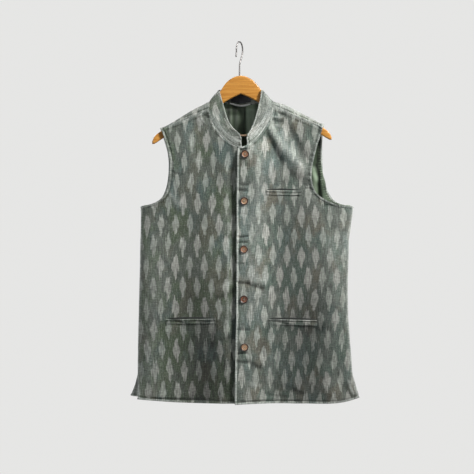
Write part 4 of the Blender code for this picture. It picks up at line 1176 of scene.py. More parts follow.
@dataclass
class Lining:
    """The back's satin lining, hung inside it in soft upright pleats."""

    form: GarmentForm
    back: Back
    thickness: float = 0.001
    gap: float = 0.0008  # between it and the back
    sway: tuple[float, float, float] = (0.004, 0.035, 0.05)  # how far pleats swing, over what fall, and their spread
    tick: tuple[float, float, float] = (0.0011, 0.0062, 0.0026)  # depth, pitch and width of its edges' small tucks
    pleats: Table = measured(
        "x width height top", (-450, 60, 22, 100), (-290, 45, 15, 130), (-180, 50, 24, 120), (-30, 70, 32, 125),
        (45, 35, 30, 120), (185, 55, 26, 125), (300, 45, 16, 130), (430, 70, 24, 110), (-750, 110, 22, 200),
        (780, 110, 24, 200), (-1150, 120, 20, 300), (1180, 120, 20, 300), (-1600, 100, 18, 200), (1700, 100, 22, 200),
        (2000, 60, 60, 300), (1780, 70, 30, 1000),
    )
    # Runs of painted shade (below nought) and painted highlight (above it) on the satin.
    painted_shading: Table = measured(
        "x0 z0 x1 z1 width tone", (1990, -2250, 1950, -2960, 60, -11000), (1890, -2960, 1960, -3280, 32, -9000),
        (1780, -3060, 1930, -3400, 60, 9500), (1860, -3460, 1980, -3820, 80, 3000),
        (2080, -3560, 2300, -3900, 40, -7000), (-1720, -2300, -1700, -3000, 60, -8000),
        (-1640, -3150, -1760, -3550, 60, 5000), (-300, -1500, -240, -2300, 70, -7000),
        (-130, -1480, -70, -2300, 95, -5500), (130, -1560, 100, -2400, 22, -9000),
        (270, -1440, 270, -2300, 120, 12500),
    )

    def grid(self) -> ClothGrid:
        """The lining's outer face: the back's own points moved inwards, less its pleats."""
        across = np.concatenate([[0.0], STEP_IN, np.arange(0.016, 0.985, 0.0062), 1.0 - np.array(STEP_IN), [1.0]])
        share = 0.013 + (0.987 - 0.013) * across
        turn = 6.2e-5 * np.arange(7, 21) ** 2
        down = places_down((12,) * 12 + (12, 14, 18, 14, 10, 8), (), ())
        marks = np.concatenate([turn, down[(down > 0.027) & (down < 0.965)]])
        points = self.form.back_point(*np.meshgrid(share, marks))
        made = self.form.hung(points, BACKWARDS)
        made.lift(self.back.swells(points.reshape(-1, 3)) - self.back.thickness - self.gap)
        fall = self.form.ridge_height(points[..., 0]) - points[..., 2]
        swing, wave, spread = self.sway
        sway = swing * np.sin(fall / wave) + spread * fall
        pleated = np.zeros(fall.shape)
        for x, width, height, top in zip(*self.pleats.values()):
            started = smoothstep((fall - top - 0.01) / 0.012) * (1.0 - 0.6 * smoothstep((fall - 0.2) / 0.25))
            started *= smoothstep((marks[:, None] - 0.013) / 0.02)
            pleated += height * started * bell(points[..., 0] - x - sway * np.sign(x), width)
        made.lift(-pleated)
        tone = np.zeros(fall.shape)
        for x0, z0, x1, z1, width, depth in zip(*self.painted_shading.values()):
            along, aside, length = run_places(points[..., 0], points[..., 2], x0, z0, x1, z1)
            ends = smoothstep(along / (3.0 * width) + 0.5) * smoothstep((length - along) / (3.0 * width) + 0.5)
            tone += depth * ends * bell(aside, width)
        depth, pitch, width = self.tick
        for column in (0, -1):
            away, along = made.places_by(made.points[:, column])
            ticks = np.sin(along * math.tau / pitch + 2.0 * np.sin(along / 0.021))
            made.lift(-depth * ticks * bell(away - 0.0015, width))
            # Painted light between the tucks, painted shade in them.
            tone += (0.5 - 1.4 * smoothstep(ticks + 0.3)) * bell(away - 0.0012, width)
        made.wear_and_painted_light(tone)
        return made

    def build(self, satin: "Finish") -> Piece:
        """Makes the lining, dressed in satin."""
        return satin.dress(add_shell("satin_lining", self.grid().surface(), self.thickness))


@dataclass
class LabelTape:
    """The short blank tape below the label, on the lining."""

    form: GarmentForm
    back: Back
    thickness: float = 0.0006
    inwards: float = 0.0054  # from the back's outside
    left: float = -0.025
    right: float = 0.0275
    top: float = 0.0004  # how far down the back it starts
    tall: float = 0.0092
    raised: float = 0.0032
    ends: float = 0.4  # how tall its two ends are, as a share of its middle

    def build(self, tape: "Finish") -> Piece:
        """Makes the tape: a strip of the back's points, moved inwards past the lining."""
        edge_left, edge_right = self.form.back["left_x"][0], self.form.back["right_x"][0]
        even = np.concatenate([[0.0, 0.006, 0.02], np.linspace(0.04, 0.96, 46), [0.98, 0.994, 1.0]])
        share = (self.left + (self.right - self.left) * even - edge_left) / (edge_right - edge_left)
        marks = np.concatenate([[0.0, 0.05, 0.14], np.linspace(0.24, 0.76, 7), [0.86, 0.95, 1.0]])
        crescent = self.ends + (1.0 - self.ends) * np.sin(even * math.pi)
        points = self.form.back_point(np.tile(share, (len(marks), 1)), self.top + self.tall * np.outer(marks, crescent))
        grid = self.form.hung(points, BACKWARDS)
        waves = ripples(points[..., 0], points[..., 2], 55, 0.03, 0.0003)
        grid.lift(self.back.swells(points.reshape(-1, 3)) - self.inwards)
        grid.lift(-np.abs(waves))
        grid.points[..., 2] += self.raised
        return tape.dress(add_shell("blank_tape", grid.surface(), self.thickness))


@dataclass
class Collar:
    """The stand collar: one band round the neck, its two ends meeting at the centre front."""

    form: GarmentForm
    thickness: float = 0.0024
    corner: float = 0.007  # the radius of its two top corners
    rise: float = -0.0004  # from the neckline to its foot
    bow: float = 0.001
    worn: tuple[float, float, float] = (0.12, 0.16, 0.56)  # painted highlight over the band, and how much more at its left, which faces the key light, and along its foot
    quilting: tuple[float, float] = (0.0004, 0.35)  # how deep its rows of quilting lie, and how much darker
    label_across: tuple[float, float] = (0.462, 0.574)
    label_up: tuple[float, float] = (0.1, 0.62)
    label_thickness: float = 0.0006
    foot_rows: tuple[float, ...] = (0.0085, 0.0125, 0.0165)  # how far up its rows of quilting lie
    stitches: list[StitchRun] = field(default_factory=list)
    top: Table = measured(
        "along x y z", (490, 35, -435, -2280), (830, -60, -400, -2185), (1250, -165, -350, -2085),
        (1670, -240, -300, -1975), (2080, -300, -250, -1840), (2500, -345, -200, -1690), (2920, -395, -155, -1500),
        (3250, -445, -125, -1335), (3450, -490, -100, -1195), (3580, -525, -20, -1185), (3750, -510, 90, -1165),
        (4170, -380, 190, -1130), (4580, -210, 235, -1115), (5000, -40, 250, -1110), (5420, 130, 240, -1110),
        (5830, 300, 205, -1115), (6250, 500, 120, -1140), (6550, 570, 0, -1160), (6750, 535, -100, -1160),
        (6950, 515, -130, -1290), (7200, 485, -155, -1440), (7500, 445, -190, -1620), (7920, 390, -240, -1820),
        (8330, 335, -295, -1995), (8750, 280, -350, -2110), (9170, 230, -405, -2195), (9540, 172, -450, -2285),
    )

    def neckline(self) -> Array:
        """The whole neckline as one run of points, from the right front's edge round to the left's."""
        form = self.form
        fronts = np.linspace(9 / 22, 0.0, 60)
        over = np.linspace(0.0, 1.0, 12)
        left, right = form.back["left_x"][0], form.back["right_x"][0]
        x = np.linspace(form.back_neck["x"][0], form.back_neck["x"][-1], 60)
        return np.concatenate([
            form.front_point(Panel.RIGHT_FRONT, np.zeros_like(fronts), fronts),
            form.strip_point(Panel.RIGHT_FRONT, np.zeros_like(over), over[::-1]),
            form.back_point((x - left) / (right - left), np.zeros_like(x)),
            form.strip_point(Panel.LEFT_FRONT, np.zeros_like(over), over),
            form.front_point(Panel.LEFT_FRONT, np.zeros_like(fronts), fronts[::-1]),
        ])

    @staticmethod
    def outward(points: Array) -> Array:
        """The level direction away from the neck's middle."""
        return points * np.array([1.0, 1.0, 0.0]) - np.array([0.004, -0.01, 0.0])

    def point(self, across: Array, up: Array) -> Array:
        """The collar's middle surface.

        A straight line from the neckline to the top edge's curve, bowed out by a sine; near either end its top
        comes down in a quarter round.

        Args:
            across: 0 at the right front's end, 1 at the left's.
            up: 0 at the neckline, 1 at the top edge.

        Returns:
            The points.
        """
        line = self.neckline()
        along = run_length(line)
        start, end = self.top["along"][[0, -1]]
        place = start + (end - start) * across
        foot = np.stack([np.interp(place, along / along[-1], line[:, i]) for i in range(3)], axis=-1)
        head = np.stack([curve_through(self.top["along"], self.top[c], place) for c in "xyz"], axis=-1)
        rise = head - foot
        tall = np.maximum(np.linalg.norm(rise, axis=-1, keepdims=True), 1e-6)
        near_end = np.minimum(across, 1.0 - across) * (end - start) * along[-1]
        cut = 1.0 - np.sqrt(np.clip(1.0 - (1.0 - np.minimum(near_end / self.corner, 1.0)) ** 2, 0.0, 1.0))
        height = (1.0 - self.corner * cut[..., None] / tall) * up[..., None]
        low = self.rise / tall
        height = low + (1.0 - low) * height
        return foot + rise * height + unit(self.outward(foot)) * self.bow * np.sin(height * math.pi)

    def grid(self, across: Array, up: Array) -> ClothGrid:
        """A grid of the collar's middle surface, its warp running round it and its weft upwards."""
        points = self.point(*np.meshgrid(across, up))
        middle = points[len(points) // 2]
        round_it = np.broadcast_to(run_length(middle), points.shape[:2])
        rise = np.linalg.norm(np.diff(points, axis=0), axis=-1)
        height = np.concatenate([np.zeros((1, len(across))), np.cumsum(rise, axis=0)])
        return ClothGrid(points, np.stack([height, round_it], axis=-1), self.outward(points))

    def marks(self) -> tuple[Array, Array]:
        """Places round the collar and up it, fine by its edges."""
        ends = 0.013 * np.array([0.0, 0.012, 0.035, 0.07, 0.12, 0.19, 0.28, 0.4, 0.55, 0.75, 1.0])
        across = np.concatenate([ends, np.linspace(0.013, 0.987, 400)[1:-1], 1.0 - ends[::-1]])
        low = np.array([0.0, 0.003, 0.01, 0.02, 0.035])
        return across, np.concatenate([low, np.linspace(0.06, 0.94, 24), 1.0 - low[::-1]])

    def build(self, cloth: "Finish", label_finish: "Finish") -> tuple[Piece, Piece]:
        """Makes the collar and the blank label inside its back.

        Args:
            cloth: the collar's finish.
            label_finish: the label's.

        Returns:
            The collar and the label.
        """
        grid = self.grid(*self.marks())
        across, up = np.meshgrid(*self.marks())
        height = np.full(across.shape, self.form.seam)
        height += ripples(grid.cloth[..., 1], grid.cloth[..., 0], 71, 0.06, 0.0005)
        in_front = smoothstep((np.abs(across - 0.5) - 0.18) / 0.15)
        height += 0.0006 * in_front * bell(up - 0.3, 0.2) - 0.0002 * in_front * bell(up - 0.66, 0.16)
        # Painted highlight over the band, stronger on the side towards the key light.
        worn = self.worn[0] + self.worn[1] * smoothstep((grid.points[..., 0] - 0.01) / 0.03)
        for number, line in enumerate((grid.points[-1], grid.points[:, 0], grid.points[:, -1], grid.points[0])):
            edging = COLLAR_FOOT if number == 3 else COLLAR_EDGE
            away, along = grid.places_by(line)
            height += edging.height(away, along, 72 + number)
            worn += edging.worn(away)
        from_foot = grid.cloth[..., 0]
        for row in self.foot_rows:
            height -= self.quilting[0] * in_front * bell(from_foot - row, 0.0008)
            worn -= self.quilting[1] * in_front * bell(from_foot - row, 0.0009)
        # Painted highlight on the front's lower band.
        worn += self.worn[2] * in_front * smoothstep((0.019 - from_foot) / 0.004)
        grid.lift(height)
        grid.wear_and_painted_light(worn)
        self.stitches += find_runs(
            grid, (grid.points[-1], COLLAR_EDGE, "last_row", slice(14, -14)),
            (grid.points[0], COLLAR_FOOT, "first_row", slice(14, -14)),
        )
        band = cloth.dress(add_shell("collar_band", grid.surface(), self.thickness))
        return band, self.build_label(label_finish)

    def build_label(self, finish: "Finish") -> Piece:
        """Makes the label: a patch of the collar's inside, its edges turned under."""
        fine = np.array([0.0, 0.006, 0.018, 0.035])
        across = np.concatenate([fine, np.linspace(0.06, 0.94, 44), 1.0 - fine[::-1]])
        up = np.concatenate([fine * 2, np.linspace(0.12, 0.88, 22), 1.0 - 2 * fine[::-1]])
        left, right = self.label_across
        low, high = self.label_up
        grid = self.grid(left + (right - left) * across, low + (high - low) * up)
        waves = ripples(grid.cloth[..., 1], grid.cloth[..., 0], 81, 0.05, 0.0004)
        grid.lift(-self.thickness - np.abs(waves))
        return finish.dress(add_shell("blank_label", grid.surface(), self.label_thickness))


@dataclass
class PocketWelt:
    """One welt pocket: a raised lip of cloth with a near-black strip just above it, the painted shadow of the pocket's
    mouth.
    """

    form: GarmentForm
    name: str
    panel: Panel
    mouth: tuple[float, float, float, float]  # x and z of its two ends
    height: float
    wear_and_painted_light: tuple[float, float, float] = (0.0, 0.0, 0.0)  # of its lip, its groove and its foot: painted highlight on the lip and foot, painted shade in the groove
    groove: float = 0.0014  # how deep its stitches draw it in
    groove_at: float = 0.0066  # how far below the mouth they lie
    thickness: float = 0.0012
    mouth_gape: float = 0.0048
    sag: float = 0.0006  # how far the mouth's middle hangs below its ends
    tuck: float = 0.0006  # how far its near-black strip of painted shadow runs down behind the lip

    def strip(self, across: Array, down: Array, proud: Array, bow: float) -> ClothGrid:
        """A strip of the front's own points below the mouth's line, moved out.

        Args:
            across: places along it, 0 to 1.
            down: metres below the mouth's line, for each row.
            proud: how far each point stands out from the form.
            bow: how far the line's middle hangs below its ends.

        Returns:
            The strip's grid.
        """
        x0, z0, x1, z1 = self.mouth
        along, below = np.meshgrid(across, down)
        x = x0 + (x1 - x0) * along
        z = z0 + (z1 - z0) * along - below - bow * 4.0 * along * (1.0 - along)
        points = self.form.point(Side.FRONT, x, z, self.panel)
        grid = ClothGrid(points, np.zeros((*x.shape, 2)), np.array(FORWARDS))
        grid.lift(crease_height(self.panel, x, z) + proud)
        level = np.linspace(0.0, x1 if x1 > 0.0 else x0, 160)
        line = self.form.point(Side.FRONT, level, np.full(160, z0), self.panel)
        far = np.sign(level[-1]) * run_length(line * np.array([1.0, 1.0, 0.0]))
        order = np.argsort(level)
        grid.cloth = np.stack([np.interp(x, level[order], far[order]), self.form.cloth_up(points)], axis=-1)
        return grid

    def build(self, cloth: "Finish", pocketing: "Finish") -> Piece:
        """Makes the lip and the mouth as one piece.

        The lip's height over the form is a flat top that rounds down at its lower edge and rolls at its upper one.

        Args:
            cloth: the finish of the lip.
            pocketing: that of the mouth, a near-black strip of painted shadow.

        Returns:
            The object.
        """
        fine = np.array([0.0, 0.0016, 0.005, 0.01, 0.018])
        across = np.concatenate([fine, np.linspace(0.03, 0.97, 90), 1.0 - fine[::-1]])
        share = np.concatenate([fine * 5, np.linspace(0.13, 0.87, 15), 1.0 - 5 * fine[::-1]])
        along, down = np.meshgrid(across, share)
        tall = self.height
        below = down * tall
        roll = 0.0014 * bell(below - 0.0026, 0.0021)
        stitched = self.groove * bell(below - self.groove_at, 0.0013) + 0.0004 * bell(below - tall + 0.0026, 0.0009)
        waves = ripples(along * 0.1, down * tall, 90, 0.03, 0.00025)
        proud = self.form.seam + self.thickness + roll - stitched + waves
        lip = self.strip(across, share * tall, proud, self.sag)
        places = ((0.0022, 0.0022), (self.groove_at, 0.0018), (tall, 0.002))
        # Painted highlight along the lip's top and foot, painted shade in its stitch groove.
        worn = sum(wear_and_painted_light * bell(below - at, width) for wear_and_painted_light, (at, width) in zip(self.wear_and_painted_light, places))
        lip.wear_and_painted_light(worn)
        shell = shell_arrays(lip.surface(), self.thickness)
        # The mouth: a near-black strip of painted shadow above the lip.
        opened = np.sin(np.clip(along, 0.0, 1.0) * math.pi) ** 0.5
        mouth = self.strip(across, np.zeros(len(share)), np.zeros(along.shape), self.sag)
        gape = self.mouth_gape * opened * (1.0 - down) - self.tuck
        mouth.points = mouth.points + np.array([0.0, 0.0, 1.0]) * gape[..., None]
        mouth.points[..., 1] -= 0.0008 + 0.0004 * np.sin(down * math.pi)
        mouth.wear_and_painted_light(0.0 * worn)
        dark = shell_arrays(mouth.surface(), 0.0004)
        made = add_mesh(self.name + "_lip", *merged_arrays([(*shell, 0), (*dark, 1)]))
        return pocketing.dress(cloth.dress(made))


@dataclass
class CollarHook:
    """The short bar that holds the collar's ends together, behind them."""

    place: tuple[float, float, float] = (0.0103, -0.0378, -0.229)
    width: float = 0.019
    radius: float = 0.0019
    bow: float = 0.0004

    def build(self, brass: "Finish") -> Piece:
        """Makes the bar: a rod bowed by a parabola, its ends rounded."""
        share = np.sin(np.linspace(-1.0, 1.0, 33) * math.pi / 2)
        path = np.stack([self.width / 2 * share, 0.0 * share, self.bow * share**2], axis=-1) + self.place
        radius = self.radius * np.clip(1.0 - np.abs(share) ** 16, 0.02, 1.0) ** 0.5
        return brass.dress(add_mesh("collar_bar", *sweep(path, radius, 16)))


@dataclass
class Button:
    """A turned coconut-shell button with a dished face and four holes, sewn on through a thread shank."""

    form: GarmentForm
    number: int
    x: float
    z: float
    radius: float = 0.01
    thickness: float = 0.0032
    hole: float = 0.0009
    hole_pitch: float = 0.0017  # half the way from one hole to the next
    hole_depth: float = 0.36  # as a share of the thickness
    face: float = 0.56  # how high the dished face's middle lies, as a share of the thickness
    shank: float = 0.0008
    rings: int = 64
    sides: int = 56
    strand: float = 0.00022  # how far each of its strands lies from the pair's middle line
    profile: tuple[tuple[float, float], ...] = (  # shares of the radius and of the thickness
        (0.0, 0.0), (0.40, 0.0), (0.72, 0.0), (0.88, 0.07), (0.95, 0.22), (0.99, 0.38), (1.0, 0.52), (0.99, 0.70),
        (0.96, 0.86), (0.92, 0.97), (0.87, 1.0), (0.82, 0.99), (0.77, 0.92), (0.71, 0.76), (0.64, 0.66), (0.50, 0.60),
        (0.30, 0.56), (0.0, 0.56),
    )

    def axes(self) -> tuple[Array, Array, Array, Array]:
        """The button's place on the front, and its own right, up and outward directions."""
        x, z, near = np.array(self.x), np.array(self.z), 1e-4
        at = lambda dx, dz: self.form.point(Side.FRONT, x + dx, z + dz, Panel.LEFT_FRONT)
        along = at(self.radius, 0.0) - at(-self.radius, 0.0)
        out = unit(np.cross(at(0.0, -near) - at(0.0, near), along))
        out = out if out[1] < 0.0 else -out
        right = unit(along - out * (along @ out))
        return at(0.0, 0.0) + out * self.shank, right, np.cross(out, right), out

    def build(self, shell: "Finish") -> Piece:
        """Makes the button: a turned profile whose face sinks in four small pits at the holes."""
        r, t = self.radius, self.thickness
        profile = table("radius height", *((a * r, b * t) for a, b in self.profile))
        run = run_length(np.stack([profile["radius"], profile["height"]], axis=-1))
        even = np.linspace(0.0, run[-1], self.rings)[1:-1]
        radius, height = (np.interp(even, run, profile[c]) for c in ("radius", "height"))
        turn = np.arange(self.sides) * math.tau / self.sides
        x, y = radius[:, None] * np.cos(turn), radius[:, None] * np.sin(turn)
        pit = np.zeros(x.shape)
        for across in (-1, 1):
            for up in (-1, 1):
                far = np.hypot(x - across * self.hole_pitch, y - up * self.hole_pitch)
                pit = np.maximum(pit, smoothstep((1.35 * self.hole - far) / (0.7 * self.hole)))
        on_face = (even > run[10])[:, None]
        z = np.broadcast_to(height[:, None], x.shape) - self.hole_depth * t * pit * on_face
        z = z + np.where(on_face, 0.00008 * np.sin(radius[:, None] / 0.00045), 0.0)
        place, right, upward, out = self.axes()
        to_place = lambda a, b, c: place + a[..., None] * right + b[..., None] * upward + c[..., None] * out
        ring = to_place(x, y, z)
        poles = to_place(np.zeros(2), np.zeros(2), np.array([0.0, self.face * t]))
        across = np.stack([x / r, y / r], axis=-1).reshape(-1, 2)
        across = np.concatenate([across, np.zeros((2, 2))]) * 0.5 + 0.5
        return shell.dress(add_mesh(f"shell_button_{self.number}", *capped_rings(ring, poles), across))

    def thread_paths(self) -> list[Array]:
        """The two crossed strands of thread over the face, each laid as a pair."""
        place, right, upward, out = self.axes()
        share = np.linspace(-1.0, 1.0, 9)[:, None]
        low = 0.3 * self.thickness
        paths = []
        for tilt in (-1.0, 1.0):
            for beside in (-self.strand, self.strand):
                run = share * self.hole_pitch
                lift = low + (self.face * self.thickness - low + 0.0005) * (1.0 - share**6)
                cross = beside * (right * -tilt + upward)
                paths.append(place + run * (right + tilt * upward) + cross + lift * out)
        return paths


@dataclass
class Stitching:
    """All the hand-set edge stitches of the jacket, and the thread of its buttons, as one piece."""

    pitch: float = 0.0036
    length: float = 0.0025
    radius: float = 0.00024
    proud: float = 0.00016  # how high a stitch arches
    strand: float = 0.00028  # the radius of the buttons' thread

    def stitch_arrays(self, run: StitchRun) -> tuple[Array, Array]:
        """Small arched strands set evenly along a run.

        Each is a tube of five rings whose radius falls at both ends by sqrt(1 - t^4) and whose middle line arches
        over the cloth by a parabola.

        Args:
            run: the line on the cloth.

        Returns:
            The points, and each one's place in the template's order.
        """
        total = run_length(run.points)[-1]
        count = max(int(total / self.pitch), 1)
        at = (np.arange(count) + 0.5) * total / count
        middle = read_along(run.points, run.points, at)
        out = unit(read_along(run.points, run.normals, at))
        ahead = read_along(run.points, run.points, np.minimum(at + 0.001, total))
        back = read_along(run.points, run.points, np.maximum(at - 0.001, 0.0))
        along = unit(ahead - back)
        sideways = unit(np.cross(along, out))
        t = np.array([-1.0, -0.72, 0.0, 0.72, 1.0])
        thin = np.maximum(1.0 - t**4, 0.06) ** 0.5 * self.radius
        turn = np.arange(5) * math.tau / 5
        arch = self.proud * (1.0 - 1.6 * t**2)
        a = (t * self.length / 2)[None, :, None, None] * along[:, None, None, :]
        b = (thin[:, None] * np.cos(turn))[None, :, :, None] * sideways[:, None, None, :]
        c = (arch[:, None] + thin[:, None] * np.sin(turn))[None, :, :, None] * out[:, None, None, :]
        points = middle[:, None, None, :] + a + b + c
        return points, np.arange(points[..., 0].size).reshape(points.shape[:3])

    def build(self, runs: Sequence[StitchRun], strands: Sequence[Array], thread: "Finish") -> Piece:
        """Makes the piece.

        Args:
            runs: the lines to stitch.
            strands: the middle lines of the buttons' thread.
            thread: the finish.

        Returns:
            The object.
        """
        points, quads, ends, total = [], [], [], 0
        for run in runs:
            made, index = self.stitch_arrays(run)
            index = np.concatenate([index, index[..., :1]], axis=-1) + total
            low, high = index[:, :-1], index[:, 1:]
            quads.append(np.stack([low[..., :-1], high[..., :-1], high[..., 1:], low[..., 1:]], axis=-1).reshape(-1, 4))
            ends += [index[:, 0, :-1], index[:, -1, -2::-1]]
            points.append(made.reshape(-1, 3))
            total += points[-1].shape[0]
        blocks = [Faces(np.concatenate(quads)), Faces(np.concatenate(ends))]
        for path in strands:
            tube, faces = sweep(path, self.strand, 6, (0.31, 0.17, 0.93))
            blocks += [Faces(block.corners + total) for block in faces]
            points.append(tube)
            total += len(tube)
        return thread.dress(add_mesh("edge_stitching", np.concatenate(points), blocks))


# ---------------------------------------------------------------------------------------------- the hanger


@dataclass
class HangerBoard:
    """The contoured wooden board: a domed middle and two sloping arms with rounded edges and ends."""

    edge: float = 0.0036  # the radius of its round edges
    tilt: float = 0.024  # radians, how far it hangs off level
    contour: float = 0.01  # how far its arms curve forwards by the reach below
    contour_half: float = 0.22
    sections: int = 241
    half: Table = measured(
        "reach top bottom thickness", (0, -813, -1265, 110), (80, -822, -1295, 110), (160, -848, -1330, 110),
        (240, -888, -1370, 110), (320, -946, -1413, 110), (400, -1032, -1460, 110), (460, -1115, -1495, 110),
        (500, -1175, -1515, 110), (560, -1290, -1550, 110), (620, -1395, -1590, 110), (700, -1490, -1650, 110),
        (800, -1560, -1725, 110), (950, -1628, -1800, 110), (1200, -1740, -1915, 110), (1500, -1890, -2065, 110),
        (1750, -2010, -2200, 108), (1900, -2090, -2288, 106), (2020, -2155, -2362, 104), (2100, -2215, -2412, 100),
        (2160, -2288, -2440, 88), (2195, -2365, -2440, 62),
    )

    def build(self, wood: "Finish") -> Piece:
        """Makes the board: upright sections, each a rectangle with round corners, carried from tip to tip."""
        reach_end = self.half["reach"][-1]
        even = np.linspace(-1.0, 1.0, self.sections)
        x = reach_end * np.sign(even) * (1.0 - (1.0 - np.abs(even)) ** 1.25)
        top, bottom, thick = (
            curve_through(self.half["reach"], self.half[c], np.abs(x)) for c in ("top", "bottom", "thickness")
        )
        edge = np.minimum(np.minimum(self.edge, 0.48 * thick), 0.48 * (top - bottom))
        quarter, turn = np.meshgrid(np.arange(4), np.radians(np.linspace(0.0, 90.0, 9)), indexing="ij")
        angle = (quarter * math.pi / 2 + turn).ravel()
        in_front = np.where(np.isin(quarter, (0, 3)), 1.0, -1.0).ravel()
        on_top = np.where(quarter < 2, 1.0, 0.0).ravel()
        forward = self.contour * (x / self.contour_half) ** 2
        y = (thick / 2 - edge)[:, None] * in_front - forward[:, None] + edge[:, None] * np.cos(angle)
        corner = np.where(on_top > 0.5, (top - edge)[:, None], (bottom + edge)[:, None])
        z = corner + edge[:, None] * np.sin(angle)
        ring = np.stack([np.broadcast_to(x[:, None], y.shape), y, z], axis=-1)
        cos, sin = math.cos(-self.tilt), math.sin(-self.tilt)
        turned = np.array([[cos, 0.0, sin], [0.0, 1.0, 0.0], [-sin, 0.0, cos]])
        ring = ring @ turned.T
        return wood.dress(add_mesh("beech_board", *capped_rings(ring, ring[[0, -1]].mean(axis=1))))


@dataclass
class HangerHook:
    """The wire hook: a shank, a bend and most of a circle, whose inner top is the origin."""

    wire: float = 0.0036
    radius: float = 0.02
    turn: float = 67.5  # degrees, its plane turned on the shank from the board's
    circle: tuple[float, float] = (-38.0, 196.0)  # degrees, where its circle starts and ends
    smoothing: int = 6  # how often its middle line is smoothed
    shank: Table = measured("x z", (0, -808), (0, -700), (0, -600), (14, -530), (58, -450), (110, -385))
    tip: Table = measured("x z", (-205, -260), (-213, -320), (-220, -370))

    def path(self) -> Array:
        """The wire's middle line, smoothed and evenly parted, turned to the hook's plane."""
        angles = np.radians(np.linspace(*self.circle, 60))
        centre = self.wire / 2 - self.radius
        arc = np.stack([self.radius * np.cos(angles), centre + self.radius * np.sin(angles)], axis=-1)
        shank, tip = (np.stack([run["x"], run["z"]], axis=-1) for run in (self.shank, self.tip))
        flat = np.concatenate([shank, arc, tip])
        flat = read_along(flat, flat, np.linspace(0.0, run_length(flat)[-1], 220))
        for _ in range(self.smoothing):
            flat[1:-1] += 0.25 * (flat[2:] - 2.0 * flat[1:-1] + flat[:-2])
        turn = math.radians(self.turn)
        return np.stack([flat[:, 0] * math.cos(turn), flat[:, 0] * math.sin(turn), flat[:, 1]], axis=-1)

    def build(self, steel: "Finish") -> Piece:
        """Makes the hook: the wire's circle carried along its path, the free end rounded off."""
        path = self.path()
        left = run_length(path)[-1] - run_length(path)
        half = self.wire / 2
        radius = half * np.sqrt(np.clip(1.0 - (1.0 - np.minimum(left / half, 1.0)) ** 2, 0.01, 1.0))
        turn = math.radians(self.turn)
        tube = sweep(path, radius, 28, (-math.sin(turn), math.cos(turn), 0.0))
        return steel.dress(add_mesh("wire_hook", *tube))


# ---------------------------------------------------------------------------------------------- finishes

Colour = tuple[float, float, float]


@dataclass(frozen=True)
class Value:
    """A node's output. Arithmetic on it lays Math nodes."""

    sheet: "NodeSheet"
    socket: Socket

    def __add__(self, other: "Value | float") -> "Value":
        """The sum."""
        return self.sheet.math("ADD", self, other)

    def __sub__(self, other: "Value | float") -> "Value":
        """The difference."""
        return self.sheet.math("SUBTRACT", self, other)

    def __rsub__(self, other: float) -> "Value":
        """A number less this value."""
        return self.sheet.math("SUBTRACT", other, self)

    def __mul__(self, other: "Value | float") -> "Value":
        """The product."""
        return self.sheet.math("MULTIPLY", self, other)

    def __truediv__(self, other: "Value | float") -> "Value":
        """The quotient."""
        return self.sheet.math("DIVIDE", self, other)

    def __mod__(self, other: float) -> "Value":
        """The remainder, never negative."""
        return self.sheet.math("FLOORED_MODULO", self, other)

    def __abs__(self) -> "Value":
        """The size without its sign."""
        return self.sheet.math("ABSOLUTE", self)


